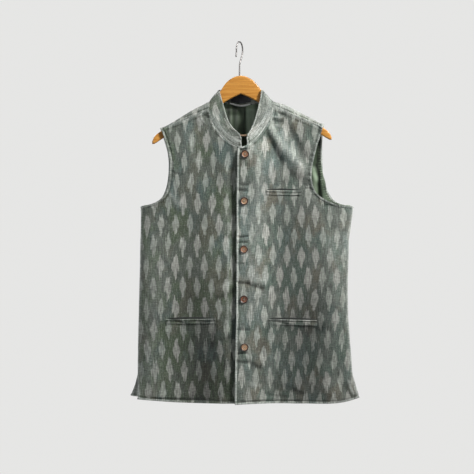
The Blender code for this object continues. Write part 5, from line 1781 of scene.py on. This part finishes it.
class NodeSheet:
    """A material's nodes, laid by short calls that hand values on."""

    def __init__(self, name: str) -> None:
        """Starts a material of that name with its shader."""
        self.material = bpy.data.materials.new(name)
        self.material.use_nodes = True
        self.tree = self.material.node_tree
        self.shader = self.tree.nodes["Principled BSDF"]

    def feed(self, socket: Socket, value: Value | float | Sequence[float]) -> None:
        """Links a socket, or sets it to a number or a colour."""
        if isinstance(value, Value):
            self.tree.links.new(value.socket, socket)
        elif isinstance(value, tuple) and len(value) == 3 and socket.type == "RGBA":
            socket.default_value = (*value, 1.0)
        else:
            socket.default_value = value

    def node(self, kind: str, inputs: dict, output: int | str = 0, **settings: object) -> Value:
        """Adds a node.

        Args:
            kind: its type's name after "ShaderNode".
            inputs: what its sockets take, by name or number.
            output: which output is handed on.
            settings: its own settings.

        Returns:
            The output.
        """
        made = self.tree.nodes.new("ShaderNode" + kind)
        for name, value in settings.items():
            setattr(made, name, value)
        for name, value in inputs.items():
            self.feed(made.inputs[name], value)
        return Value(self, made.outputs[output])

    def math(self, operation: str, *values: Value | float) -> Value:
        """One sum of one or two values."""
        return self.node("Math", dict(enumerate(values)), operation=operation)

    def vector(self, x: Value | float, y: Value | float, z: Value | float = 0.0) -> Value:
        """A vector of three values."""
        return self.node("CombineXYZ", {0: x, 1: y, 2: z})

    def parts(self, vector: Value) -> list[Value]:
        """A vector's three values."""
        return [Value(self, part) for part in self.node("SeparateXYZ", {0: vector}).socket.node.outputs]

    def place(self) -> Value:
        """The point on the object, in metres."""
        return self.node("TexCoord", {}, "Object")

    def cloth(self) -> list[Value]:
        """The cloth coordinate: metres across the weft and up the warp."""
        return self.parts(self.node("UVMap", {}, uv_map="cloth"))[:2]

    def worn(self) -> Value:
        """The piece's "worn" attribute."""
        return self.node("Attribute", {}, "Fac", attribute_name="worn")

    def scaled(self, vector: Value, scale: Colour, turn: Colour = (0.0, 0.0, 0.0)) -> Value:
        """A vector turned and stretched by a Mapping node."""
        return self.node("Mapping", {"Vector": vector, "Rotation": turn, "Scale": scale})

    def noise(self, vector: Value, scale: float = 1.0, detail: float = 2.0, roughness: float = 0.5) -> Value:
        """Smooth noise from 0 to 1."""
        return self.node("TexNoise", {"Vector": vector, "Scale": scale, "Detail": detail, "Roughness": roughness})

    def streaks(
        self, cloth: Sequence[Value], across: float, up: float, at: float, detail: float = 1.0, rough: float = 0.5
    ) -> Value:
        """Noise drawn out along the threads.

        Args:
            cloth: the cloth coordinate.
            across: about how many waves there are in a metre of the weft.
            up: the same for the warp.
            at: the noise's third coordinate, which sets it apart from others.
            detail: its finer octaves.
            rough: how strong those are.

        Returns:
            The noise, from 0 to 1.
        """
        return self.noise(self.vector(cloth[0] * across, cloth[1] * up, at), 1.0, detail, rough)

    def ramp(self, value: Value, low: float, high: float, start: float = 0.0, end: float = 1.0) -> Value:
        """A value's smooth step between two bounds, from start to end."""
        inputs = {"Value": value, "From Min": low, "From Max": high, "To Min": start, "To Max": end}
        return self.node("MapRange", inputs, interpolation_type="SMOOTHSTEP")

    def mix(self, share: Value, low: Value | Colour, high: Value | Colour) -> Value:
        """A blend of two colours."""
        return self.node("Mix", {0: share, 6: low, 7: high}, 2, data_type="RGBA")

    def shade(self, colour: Value, by: Value) -> Value:
        """A colour multiplied by a value."""
        return self.node("VectorMath", {0: colour, 1: self.vector(by, by, by)}, operation="MULTIPLY")

    def curve(self, value: Value, points: Sequence[tuple[float, float]]) -> Value:
        """A value read off a smooth curve through points."""
        read = self.node("FloatCurve", {"Value": value})
        mapping = read.socket.node.mapping
        line = mapping.curves[0]
        for (x, y), point in zip((points[0], points[-1]), line.points):
            point.location = (x, y)
        for x, y in points[1:-1]:
            line.points.new(x, y)
        mapping.update()
        return read

    def finish(self, colour: Value, roughness: Value, height: Value, distance: float, **sockets: float) -> None:
        """Feeds the shader.

        Args:
            colour: its base colour.
            roughness: its roughness.
            height: the relief from 0 to 1 for its bump.
            distance: how high that relief is, in metres.
            sockets: plain numbers for its other sockets, by name with _ for a space.
        """
        bump = self.node("Bump", {"Height": height, "Distance": distance, "Strength": 1.0})
        for name, value in (("Base Color", colour), ("Roughness", roughness), ("Normal", bump)):
            self.feed(self.shader.inputs[name], value)
        for name, value in sockets.items():
            self.shader.inputs[name.replace("_", " ").title().replace("Ior", "IOR")].default_value = value

    def woven(self, cloth: Sequence[Value], pitch: float) -> Value:
        """A plain weave's height: warp and weft arches, |sin|, taking turns over each other like a chequerboard."""
        over = [abs(self.math("SINE", value / pitch * math.pi)) for value in cloth]
        odd = (self.math("FLOOR", cloth[0] / pitch) + self.math("FLOOR", cloth[1] / pitch)) % 2.0
        return over[1] * odd + over[0] * (1.0 - odd)


@dataclass(frozen=True)
class Finish:
    """A finish: its material's name and the record's slot it belongs to."""

    name: str
    slot: str

    def dress(self, piece: Piece) -> Piece:
        """Adds the finish's material to a piece, making it the first time, and hands the piece back."""
        made = bpy.data.materials.get(self.name)
        if made is None:
            sheet = NodeSheet(self.name)
            self.paint(sheet)
            made = sheet.material
        piece.data.materials.append(made)
        return piece

    def paint(self, sheet: NodeSheet) -> None:
        """Lays the material's nodes."""
        raise NotImplementedError


@dataclass(frozen=True)
class IkatCloth(Finish):
    """Handloom cotton with pale spindles in a half-drop repeat, dyed into the warp so that their edges feather."""

    column: float = 0.0352  # from one spindle to the next in a row
    row: float = 0.0507
    middle_across: float = 0.0  # a spindle's middle in an even row
    middle_up: float = 0.0
    wander: float = 0.0  # how far the columns bow sideways over the panel's length
    sag: float = 0.0  # how much lower the rows lie on the outer half
    drag: float = 0.0  # how much higher they lie on the chest
    hem_shade: float = 0.05  # how much greener it is by the hem, and how much painted shade darkens it there
    lean: float = 0.0  # how far the columns lean towards the middle by the hem
    painted_placket_light: float = 0.0  # how much lighter it is painted, as highlight, within a hand's breadth of the middle
    width: float = 0.0174  # of a spindle
    shifts: tuple[float, float, float] = (0.023, 0.03, 0.012)  # how far threads, bundles and slow waves shift the dye
    uneven: float = 0.14  # how much of its width one spindle may differ from another by
    weave: float = 0.00075  # from one thread to the next
    relief: float = 0.00018
    grey: Colour = (0.082, 0.094, 0.08)
    teal: Colour = (0.07, 0.098, 0.09)
    olive: Colour = (0.086, 0.09, 0.068)
    green: Colour = (0.067, 0.09, 0.057)
    light: Colour = (0.165, 0.18, 0.162)
    spindle: Colour = (0.27, 0.29, 0.26)
    spindle_warm: Colour = (0.274, 0.28, 0.256)
    spindle_cold: Colour = (0.23, 0.265, 0.25)
    # What worn above nought pales the cloth towards: worn edges and painted highlight.
    faded: Colour = (0.345, 0.368, 0.345)
    outline: tuple[tuple[float, float], ...] = (
        (0.0, 0.02), (0.03, 0.34), (0.22, 0.42), (0.3, 0.58), (0.37, 0.88), (0.46, 1.0), (0.57, 0.97), (0.68, 0.84),
        (0.78, 0.6), (0.87, 0.52), (0.95, 0.46), (0.99, 0.24), (1.0, 0.02),
    )

    def paint(self, sheet: NodeSheet) -> None:
        """Lays the material's nodes.

        Each thread of the warp is shifted along itself by noise, and the pattern is read at the shifted place: the
        row by its floor, the spindle's outline off a curve, and the threads outside it in the ground's colour. The
        ground is dyed in patches of four hues, streaked by the warp and crossed by the weft. The cloth is pale
        where "worn" is above nought, from worn edges and painted highlight, and darker where it is below,
        mostly painted shade in the seams, grooves and hollows.
        """
        s, m, cloth, worn = sheet, sheet.math, sheet.cloth(), sheet.worn()
        across, up = cloth
        thread, bundle = s.streaks(cloth, 900.0, 9.0, 0.0), s.streaks(cloth, 250.0, 7.0, 4.0)
        slow = s.noise(s.vector(across, up, 0.3), 14.0, 1.0)
        by_thread, by_bundle, by_wave = self.shifts
        feather = up + (thread - 0.5) * by_thread + (bundle - 0.5) * by_bundle + (slow - 0.5) * by_wave
        feather = feather + s.ramp(across, 0.05, 0.13, 0.0, self.sag)
        feather = feather - s.ramp(up, -0.345, -0.285) * s.ramp(across, 0.012, 0.04, 0.0, self.drag)
        sideways = across + (s.streaks(cloth, 30.0, 90.0, 2.0, 2.0) - 0.5) * 0.005
        sideways = sideways - m("SINE", (self.middle_up - up) * (math.pi / 0.61)) * self.wander
        sideways = sideways + s.ramp(up, -0.84, -0.48, self.lean, 0.0)

        along = (feather - self.middle_up) / self.row + 0.5
        row = m("FLOOR", along)
        beside = (sideways - self.middle_across) / self.column + (row % 2.0 * 0.5 + 0.5)
        own = s.node("TexWhiteNoise", {"Vector": s.vector(m("FLOOR", beside), row, 1.5)})
        half = s.curve(m("FRACT", along), self.outline)
        half = half * (own * (self.uneven * self.width) + (0.5 - self.uneven / 2) * self.width)
        off = abs(m("FRACT", beside) - 0.5) * self.column
        inside = s.ramp(half - off, -0.0008, 0.0012)

        fine = s.streaks(cloth, 1250.0, 40.0, 6.0, 2.0, 0.6)
        streak = s.streaks(cloth, 430.0, 42.0, 7.0, 2.0, 0.6)
        slub = s.streaks(cloth, 75.0, 520.0, 8.0, 3.0, 0.6)
        mottle = s.streaks(cloth, 420.0, 230.0, 9.0, 2.0, 0.6)
        patchy = {"Vector": s.vector(across * 1.6, up, self.middle_up), "Scale": 11.0, "Detail": 3.0, "Roughness": 0.58}
        cold, dull, fresh = s.parts(s.node("TexNoise", patchy, "Color"))
        # Painted shade by the hem, which also greens the ground.
        low = s.ramp(up, -0.74, -0.5, self.hem_shade, 0.0)
        ground = s.mix(s.ramp(cold, 0.45, 0.64), self.grey, self.teal)
        ground = s.mix(s.ramp(low * 0.55 + fresh, 0.46, 0.66), ground, self.green)
        ground = s.mix(s.ramp(dull, 0.5, 0.66), ground, self.olive)
        ground = s.mix(s.ramp(mottle, 0.48, 0.8), ground, self.light)
        pale = s.mix(s.ramp(own, 0.2, 0.9), self.spindle, self.spindle_warm)
        pale = s.mix(s.ramp(cold, 0.5, 0.7, 0.0, 0.4), pale, self.spindle_cold)
        taken = inside * s.ramp(fine, 0.2, 0.62, 0.72, 1.0) * (own * 0.22 + 0.78) * (worn * -0.4 + 1.0)
        # Paler towards the faded colour where worn is above nought: worn edges and painted highlight.
        rubbed_and_painted_light = m("MAXIMUM", worn, 0.0)
        fading = rubbed_and_painted_light * (rubbed_and_painted_light * 0.32 + s.ramp(slub, 0.3, 0.66, 0.4, 0.85))
        colour = s.mix(fading, s.mix(taken, ground, pale), self.faded)
        value = s.ramp(streak, 0.28, 0.72, 0.64, 1.34) * s.ramp(slub, 0.3, 0.7, 0.78, 1.2)
        # Painted shade where worn is below nought.
        value = value * (fine * 0.5 + 0.75) * (m("MINIMUM", worn, 0.0) * 0.62 + 1.0)
        # A painted highlight near the front edge, below the neck.
        painted_placket_light = s.ramp(across, 0.058, 0.11, self.painted_placket_light, 0.0) * s.ramp(up, -0.255, -0.22, 1.0, 0.0)
        relief = slub * 0.9 + (fine * 0.9 + (streak * 1.2 + s.woven(cloth, self.weave)))
        s.finish(
            s.shade(colour, (value - low) * (painted_placket_light + 1.0)), s.ramp(streak, 0.2, 0.8, 0.78, 0.92), relief, self.relief,
            sheen_weight=0.18, sheen_roughness=0.45, specular_ior_level=0.25,
        )


@dataclass(frozen=True)
class Satin(Finish):
    """A thin dark green lining satin: long floats down the warp, with soft bands of painted sheen and shade."""

    # Its bands run from painted shade to painted sheen; worn above nought paints highlights towards the third colour.
    dark: Colour = (0.04, 0.062, 0.036)
    light: Colour = (0.082, 0.116, 0.07)
    painted_highlight: Colour = (0.26, 0.34, 0.24)

    def paint(self, sheet: NodeSheet) -> None:
        """Lays fine weft lines and slow bands of painted sheen and shade; "worn" adds painted highlight above nought
        and painted shade below.
        """
        s, tone = sheet, sheet.worn()
        lines, bands = s.streaks(s.cloth(), 90.0, 2200.0, 0.0, 2.0), s.streaks(s.cloth(), 70.0, 6.0, 3.0, 3.0)
        colour = s.mix(s.ramp(bands, 0.28, 0.72), self.dark, self.light)
        colour = s.shade(s.mix(s.ramp(tone, 0.0, 1.0), colour, self.painted_highlight), lines * 0.5 + 0.75)
        colour = s.shade(colour, s.ramp(tone, -1.0, 0.0, 0.1, 1.0))
        s.finish(
            colour, s.ramp(bands, 0.2, 0.8, 0.48, 0.62), lines, 0.00004,
            sheen_weight=0.12, anisotropic=0.4, specular_ior_level=0.45,
        )


@dataclass(frozen=True)
class MouthShadow(Finish):
    """Near-black plain cotton laid as the painted shadow in a pocket's mouth."""

    dark: Colour = (0.008, 0.01, 0.009)
    light: Colour = (0.02, 0.024, 0.021)

    def paint(self, sheet: NodeSheet) -> None:
        """Lays a fine plain weave, unevenly dyed."""
        s, patch = sheet, sheet.noise(sheet.place(), 160.0, 3.0)
        colour = s.mix(patch, self.dark, self.light)
        s.finish(colour, s.ramp(patch, 0.2, 0.8, 0.85, 0.95), s.woven(s.cloth(), 0.0005), 0.0001)


@dataclass(frozen=True)
class Wood(Finish):
    """Varnished orange-brown beech: long grain, fine pores, and a soft gloss."""

    dark: Colour = (0.3, 0.112, 0.014)
    middle: Colour = (0.45, 0.196, 0.028)
    light: Colour = (0.57, 0.282, 0.054)
    pore: Colour = (0.12, 0.045, 0.015)

    def paint(self, sheet: NodeSheet) -> None:
        """Lays bands of noise stretched along the board, with darker short pores."""
        s, place = sheet, sheet.place()
        x, y, z = s.parts(place)
        level = z + s.noise(s.scaled(place, (9.0, 30.0, 22.0))) * 0.02
        grain = s.noise(s.vector(x * 7.0, y * 160.0, level * 260.0), 1.0, 5.0)
        fibre = s.noise(s.scaled(place, (60.0, 900.0, 1400.0)), 1.0, 3.0)
        pores = s.ramp(s.noise(s.scaled(place, (150.0, 1500.0, 2200.0)), 1.0, 1.0), 0.66, 0.74)
        colour = s.mix(s.ramp(grain, 0.3, 0.7), self.dark, self.light)
        colour = s.mix(s.ramp(fibre, 0.25, 0.75, 0.15, 0.6), colour, self.middle)
        s.finish(
            s.mix(pores * 0.55, colour, self.pore), s.ramp(grain, 0.2, 0.8, 0.34, 0.48), fibre * 0.5 - pores, 0.00005,
            coat_weight=0.35, coat_roughness=0.22,
        )


@dataclass(frozen=True)
class SteelWire(Finish):
    """Drawn steel wire, dulled in patches."""

    bright: Colour = (0.29, 0.28, 0.275)
    dull: Colour = (0.19, 0.18, 0.175)

    def paint(self, sheet: NodeSheet) -> None:
        """Lays patches of tarnish, and fine draw marks."""
        s, patch = sheet, sheet.noise(sheet.place(), 160.0, 4.0, 0.6)
        marks = s.noise(s.scaled(s.place(), (2600.0, 2600.0, 320.0)))
        colour = s.mix(s.ramp(patch, 0.42, 0.75), self.bright, self.dull)
        s.finish(colour, s.ramp(patch, 0.3, 0.8, 0.55, 0.66) + marks * 0.08, marks, 0.00002, metallic=1.0)


@dataclass(frozen=True)
class Brass(Finish):
    """Handled brass."""

    bright: Colour = (0.66, 0.43, 0.29)
    dull: Colour = (0.36, 0.22, 0.14)

    def paint(self, sheet: NodeSheet) -> None:
        """Lays darker patches and a fine rub."""
        s, patch = sheet, sheet.noise(sheet.place(), 420.0, 3.0)
        rub = s.noise(s.scaled(s.place(), (600.0, 4000.0, 4000.0)))
        colour = s.mix(s.ramp(patch, 0.35, 0.75), self.bright, self.dull)
        s.finish(colour, s.ramp(rub, 0.2, 0.8, 0.26, 0.44), rub, 0.00002, metallic=1.0)


@dataclass(frozen=True)
class CoconutShell(Finish):
    """Turned coconut shell: a coppery face full of short fibres, its rim dark, partly the shell's own dark edge and
    partly painted shade.
    """

    face: Colour = (0.285, 0.14, 0.074)
    fleck: Colour = (0.12, 0.056, 0.03)
    cloud: Colour = (0.44, 0.265, 0.165)
    rim: Colour = (0.04, 0.02, 0.014)

    def paint(self, sheet: NodeSheet) -> None:
        """Lays the fibres by stretched noise, and the rim and ring by the disc coordinate's radius."""
        s = sheet
        x, y = (value - 0.5 for value in s.cloth())
        far = s.math("SQRT", x * x + y * y) * 2.0
        fibre = s.noise(s.scaled(s.place(), (520.0, 520.0, 1700.0), (0.0, 0.5, 0.0)), 1.0, 3.0, 0.6)
        colour = s.mix(s.ramp(fibre, 0.42, 0.7), self.face, self.fleck)
        colour = s.mix(s.ramp(s.noise(s.place(), 240.0), 0.35, 0.75, 0.0, 0.6), colour, self.cloud)
        colour = s.mix(s.ramp(abs(far - 0.44), 0.03, 0.11, 0.75, 0.0), colour, self.fleck)
        # The dark rim: partly the shell's own edge, partly painted shade round the button.
        colour = s.mix(s.ramp(far + (fibre - 0.5) * 0.1, 0.62, 0.73), colour, self.rim)
        s.finish(colour, s.ramp(fibre, 0.2, 0.8, 0.3, 0.46), fibre, 0.00003, coat_weight=0.15, coat_roughness=0.3)


@dataclass(frozen=True)
class WovenTape(Finish):
    """A narrow woven tape or label: fine ribs across it, a little uneven."""

    base: Colour = (0.9, 0.9, 0.86)
    worn: Colour = (0.72, 0.72, 0.67)
    shine: float = 0.3
    rib: float = 0.0004

    def paint(self, sheet: NodeSheet) -> None:
        """Lays ribs by a sine up the cloth, with slow stains and single threads."""
        s, cloth = sheet, sheet.cloth()
        ribs = s.math("SINE", cloth[1] * (math.tau / self.rib))
        thread = s.streaks(cloth, 180.0, 2400.0, 0.0, 2.0)
        colour = s.mix(s.ramp(s.noise(s.vector(*cloth), 60.0, 3.0), 0.35, 0.75), self.base, self.worn)
        rough = s.ramp(thread, 0.2, 0.8, 0.85 - self.shine, 0.95 - self.shine)
        s.finish(s.shade(colour, thread * 0.4 + 0.8), rough, ribs * 0.5 + thread, 0.00006, sheen_weight=0.1)


@dataclass(frozen=True)
class Thread(Finish):
    """Two-ply cotton sewing thread."""

    dark: Colour = (0.115, 0.135, 0.112)
    light: Colour = (0.24, 0.262, 0.225)

    def paint(self, sheet: NodeSheet) -> None:
        """Lays a slanting twist, and slow changes of tone."""
        s, tone = sheet, sheet.noise(sheet.place(), 300.0)
        x, _, z = s.parts(s.place())
        twist = s.math("SINE", (x + z) * (math.tau / 0.0005))
        s.finish(s.mix(s.ramp(tone, 0.3, 0.7), self.dark, self.light), s.ramp(tone, 0.2, 0.8, 0.6, 0.8), twist, 0.00004)


# ---------------------------------------------------------------------------------------------- the studio


@dataclass
class Studio:
    """A plain pale floor, soft lights, a pale backdrop light, and the camera."""

    aim: tuple[float, float, float] = (-0.0061, 0.0, -0.4765)  # what the camera looks at
    chest: tuple[float, float, float] = (0.04, 0.0, -0.33)  # what the lights look at
    away: float = 8.0  # from the aim to the camera
    view_width: float = 1.1613  # the width that the camera takes in at the aim
    sensor: float = 0.036
    floor_height: float = -1.35
    floor_radius: float = 2.6
    floor_sides: int = 96
    floor_tones: tuple[Colour, Colour] = ((0.74, 0.74, 0.73), (0.78, 0.78, 0.77))

    def build(self) -> None:
        """Sets up the floor, the lights, the world and the camera."""
        self.add_floor()
        self.add_light("key", (2.3, -1.6, 1.9), 0.8, 14.4, (1.0, 0.985, 0.96), 38.0)
        self.add_light("side", (-2.6, -0.5, -0.3), 1.0, 2.6, (1.0, 1.0, 1.0), 60.0)
        self.add_light("fill", (-1.9, -2.3, 0.3), 1.6, 9.0, (0.95, 0.98, 1.0))
        self.add_light("top", (0.3, -0.2, 1.0), 0.8, 4.0, (1.0, 1.0, 1.0))
        self.add_light("behind", (-1.2, 2.2, 0.5), 1.5, 34.0, (1.0, 1.0, 1.0))
        self.set_world()
        self.add_camera()
        bpy.context.scene.view_settings.view_transform = "Standard"

    def add_floor(self) -> None:
        """A round floor whose paint fades out at its rim, so that it runs into the backdrop."""
        sides = self.floor_sides
        turn = np.arange(sides) * math.tau / sides
        radius = np.linspace(0.02, 1.0, 24) * self.floor_radius
        ring = np.stack([radius[:, None] * np.cos(turn), radius[:, None] * np.sin(turn)], axis=-1)
        points = np.concatenate([ring, np.full((*ring.shape[:2], 1), self.floor_height)], axis=-1)
        surface = Surface.grid(points, np.zeros((*ring.shape[:2], 2)), (0.0, 0.0, 1.0), around=True)
        first = np.arange(sides)
        middle = np.stack([first, np.roll(first, -1), np.full(sides, len(surface.points))], axis=-1)
        points = np.concatenate([surface.points, [[0.0, 0.0, self.floor_height]]])
        floor = add_mesh("floor", points, [Faces(surface.quads), Faces(middle)])
        sheet = NodeSheet("pale_floor")
        x, y, _ = sheet.parts(sheet.place())
        far = sheet.math("SQRT", x * x + y * y)
        patch = sheet.noise(sheet.place(), 3.0, 3.0)
        colour = sheet.mix(patch, *self.floor_tones)
        sheet.finish(colour, sheet.ramp(patch, 0.2, 0.8, 0.6, 0.7), patch, 0.0002)
        fading = sheet.ramp(far, 0.45 * self.floor_radius, 0.97 * self.floor_radius, 1.0, 0.0)
        sheet.feed(sheet.shader.inputs["Alpha"], fading)
        floor.data.materials.append(sheet.material)

    def add_light(
        self, name: str, place: tuple[float, ...], size: float, watts: float, colour: Colour, beam: float = 180.0
    ) -> None:
        """A square area light that faces the garment's chest.

        Args:
            name: the light's name.
            place: where it stands.
            size: its side.
            watts: its power.
            colour: its colour.
            beam: the angle it spreads over, in degrees.
        """
        data = bpy.data.lights.new(name, "AREA")
        data.spread = math.radians(beam)
        data.shape, data.size, data.energy, data.color = "SQUARE", size, watts, colour
        made = bpy.data.objects.new(name, data)
        made.location = place
        made.rotation_euler = self.facing(place)
        bpy.context.scene.collection.objects.link(made)

    def facing(self, place: tuple[float, ...]) -> tuple[float, float, float]:
        """The turn by which a light at a place looks at the chest: pitch about X, then heading about Z."""
        run = np.array(self.chest) - place
        return (math.acos(-run[2] / float(np.linalg.norm(run))), 0.0, math.atan2(-run[0], run[1]))

    def set_world(self) -> None:
        """A pale backdrop for the camera, and a weaker even light for everything else."""
        world = bpy.data.worlds.new("studio")
        bpy.context.scene.world = world
        world.use_nodes = True
        tree = world.node_tree
        tree.nodes.clear()
        ray = tree.nodes.new("ShaderNodeLightPath")
        seen, lit = tree.nodes.new("ShaderNodeBackground"), tree.nodes.new("ShaderNodeBackground")
        seen.inputs["Color"].default_value = (0.79, 0.79, 0.78, 1.0)
        lit.inputs["Color"].default_value = (0.92, 0.96, 1.0, 1.0)
        lit.inputs["Strength"].default_value = 0.17
        mixed, out = tree.nodes.new("ShaderNodeMixShader"), tree.nodes.new("ShaderNodeOutputWorld")
        tree.links.new(ray.outputs["Is Camera Ray"], mixed.inputs[0])
        tree.links.new(lit.outputs[0], mixed.inputs[1])
        tree.links.new(seen.outputs[0], mixed.inputs[2])
        tree.links.new(mixed.outputs[0], out.inputs["Surface"])

    def add_camera(self) -> None:
        """The camera, level with its aim, its lens set by the width that it takes in there."""
        data = bpy.data.cameras.new("camera")
        data.sensor_width = self.sensor * 1000.0
        data.lens = self.sensor * 1000.0 * self.away / self.view_width
        made = bpy.data.objects.new("camera", data)
        made.location = (self.aim[0], self.aim[1] - self.away, self.aim[2])
        made.rotation_euler = (math.pi / 2, 0.0, 0.0)
        bpy.context.scene.collection.objects.link(made)
        bpy.context.scene.camera = made


# ---------------------------------------------------------------------------------------------- the whole


def place_piece(piece: Piece, finish: Finish, *nodes: str) -> Piece:
    """Hands a piece to the frame: what it rides on, and the solids it stands for, which it hides.

    Args:
        piece: the piece.
        finish: the finish whose slot it would take; not used.
        nodes: the CAD nodes it replaces.

    Returns:
        The piece.
    """
    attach(piece, "root")
    if nodes:
        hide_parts(*nodes)
    log.info("%s: %d faces", piece.name, len(piece.data.polygons))
    return piece


def ikat_finishes() -> dict[Panel, IkatCloth]:
    """The panels' ikat cloths, each with its own place of the pattern."""
    return {
        Panel.RIGHT_FRONT: IkatCloth(
            "ikat_right_front", "ikat_cloth", 0.0356, 0.0511, -0.0455, -0.2496, wander=-0.0065, hem_shade=0.16
        ),
        # The left front's ground colours are a lighter copy: painted light for the side that faces the key light.
        Panel.LEFT_FRONT: IkatCloth(
            "ikat_left_front", "ikat_cloth", 0.0349, 0.0502, 0.0105, -0.3246, wander=0.002, sag=0.009, drag=0.0105,
            hem_shade=0.1, lean=0.0066, painted_placket_light=0.29, grey=(0.092, 0.105, 0.092), teal=(0.08, 0.107, 0.098),
            olive=(0.104, 0.101, 0.08), green=(0.072, 0.099, 0.082),
        ),
        Panel.BACK: IkatCloth("ikat_back", "ikat_cloth", middle_up=-0.26, wander=0.004),
    }


def main() -> None:
    """Builds every piece in order, then the studio."""
    logging.basicConfig(level=logging.INFO, format="%(name)s: %(message)s")
    form, ikat = GarmentForm(), ikat_finishes()
    satin, pocketing = Satin("lining_satin", "lining_cloth"), MouthShadow("pocketing", "lining_cloth")
    stitches: list[StitchRun] = []

    wood, steel = Wood("varnished_beech", "wood"), SteelWire("steel_wire", "steel")
    place_piece(HangerBoard().build(wood), wood, "hanger_board")
    place_piece(HangerHook().build(steel), steel, "hanger_hook")

    back = Back(form)
    back_piece = place_piece(back.build(ikat[Panel.BACK]), ikat[Panel.BACK], "back")
    stitches += back.stitches
    lining = place_piece(Lining(form, back).build(satin), satin, "back_lining")
    white = WovenTape("white_tape", "label_tape", (0.98, 0.98, 0.95), (0.88, 0.88, 0.84))
    place_piece(LabelTape(form, back).build(white), white, "label_tape")

    for panel in (Panel.RIGHT_FRONT, Panel.LEFT_FRONT):
        front = Front(form, panel)
        place_piece(front.build(ikat[panel], satin), ikat[panel], front.name)
        stitches += front.stitches

    collar, band_cloth = Collar(form), IkatCloth("ikat_collar", "ikat_cloth", middle_across=0.0175, middle_up=0.001)
    black = WovenTape("dark_label", "label_cloth", (0.012, 0.014, 0.02), (0.04, 0.044, 0.054), 0.45, 0.0003)
    band, label = collar.build(band_cloth, black)
    place_piece(band, band_cloth, "collar")
    place_piece(label, black, "neck_label")
    stitches += collar.stitches
    brass = Brass("brass", "brass")
    place_piece(CollarHook().build(brass), brass, "collar_hook")

    flat, full = (0.1, 0.0, 0.1), (0.34, -0.4, 0.24)
    welts = (
        ("breast_welt", Panel.LEFT_FRONT, (0.0655, -0.361, 0.151, -0.3625), 0.0118, flat, 0.0002),
        ("left_pocket_welt", Panel.LEFT_FRONT, (0.0715, -0.6755, 0.1905, -0.6785), 0.0145, full, 0.0009),
        ("right_pocket_welt", Panel.RIGHT_FRONT, (-0.179, -0.676, -0.0585, -0.675), 0.0122, full, 0.0009),
    )
    for name, panel, *sizes in welts:
        place_piece(PocketWelt(form, name, panel, *sizes).build(ikat[panel], pocketing), ikat[panel], name)

    copper = CoconutShell("copper_shell", "button_shell")
    sand = CoconutShell("sand_shell", "button_shell", (0.4, 0.25, 0.145), (0.17, 0.088, 0.045), (0.56, 0.38, 0.25))
    rust = CoconutShell("rust_shell", "button_shell", (0.15, 0.056, 0.03), (0.05, 0.02, 0.012), (0.3, 0.13, 0.07))
    places = ((0.0135, -0.2742), (0.0113, -0.3886), (0.0106, -0.5067), (0.0108, -0.6287), (0.0123, -0.7458))
    strands: list[Array] = []
    for number, ((x, z), shell) in enumerate(zip(places, (copper, sand, copper, rust, sand)), start=1):
        button = Button(form, number, x, z)
        place_piece(button.build(shell), shell, f"button_{number}")
        strands += button.thread_paths()
    thread = Thread("sewing_thread", "")
    place_piece(Stitching().build(stitches, strands, thread), thread)

    Studio().build()


if __name__ == "__main__":
    main()
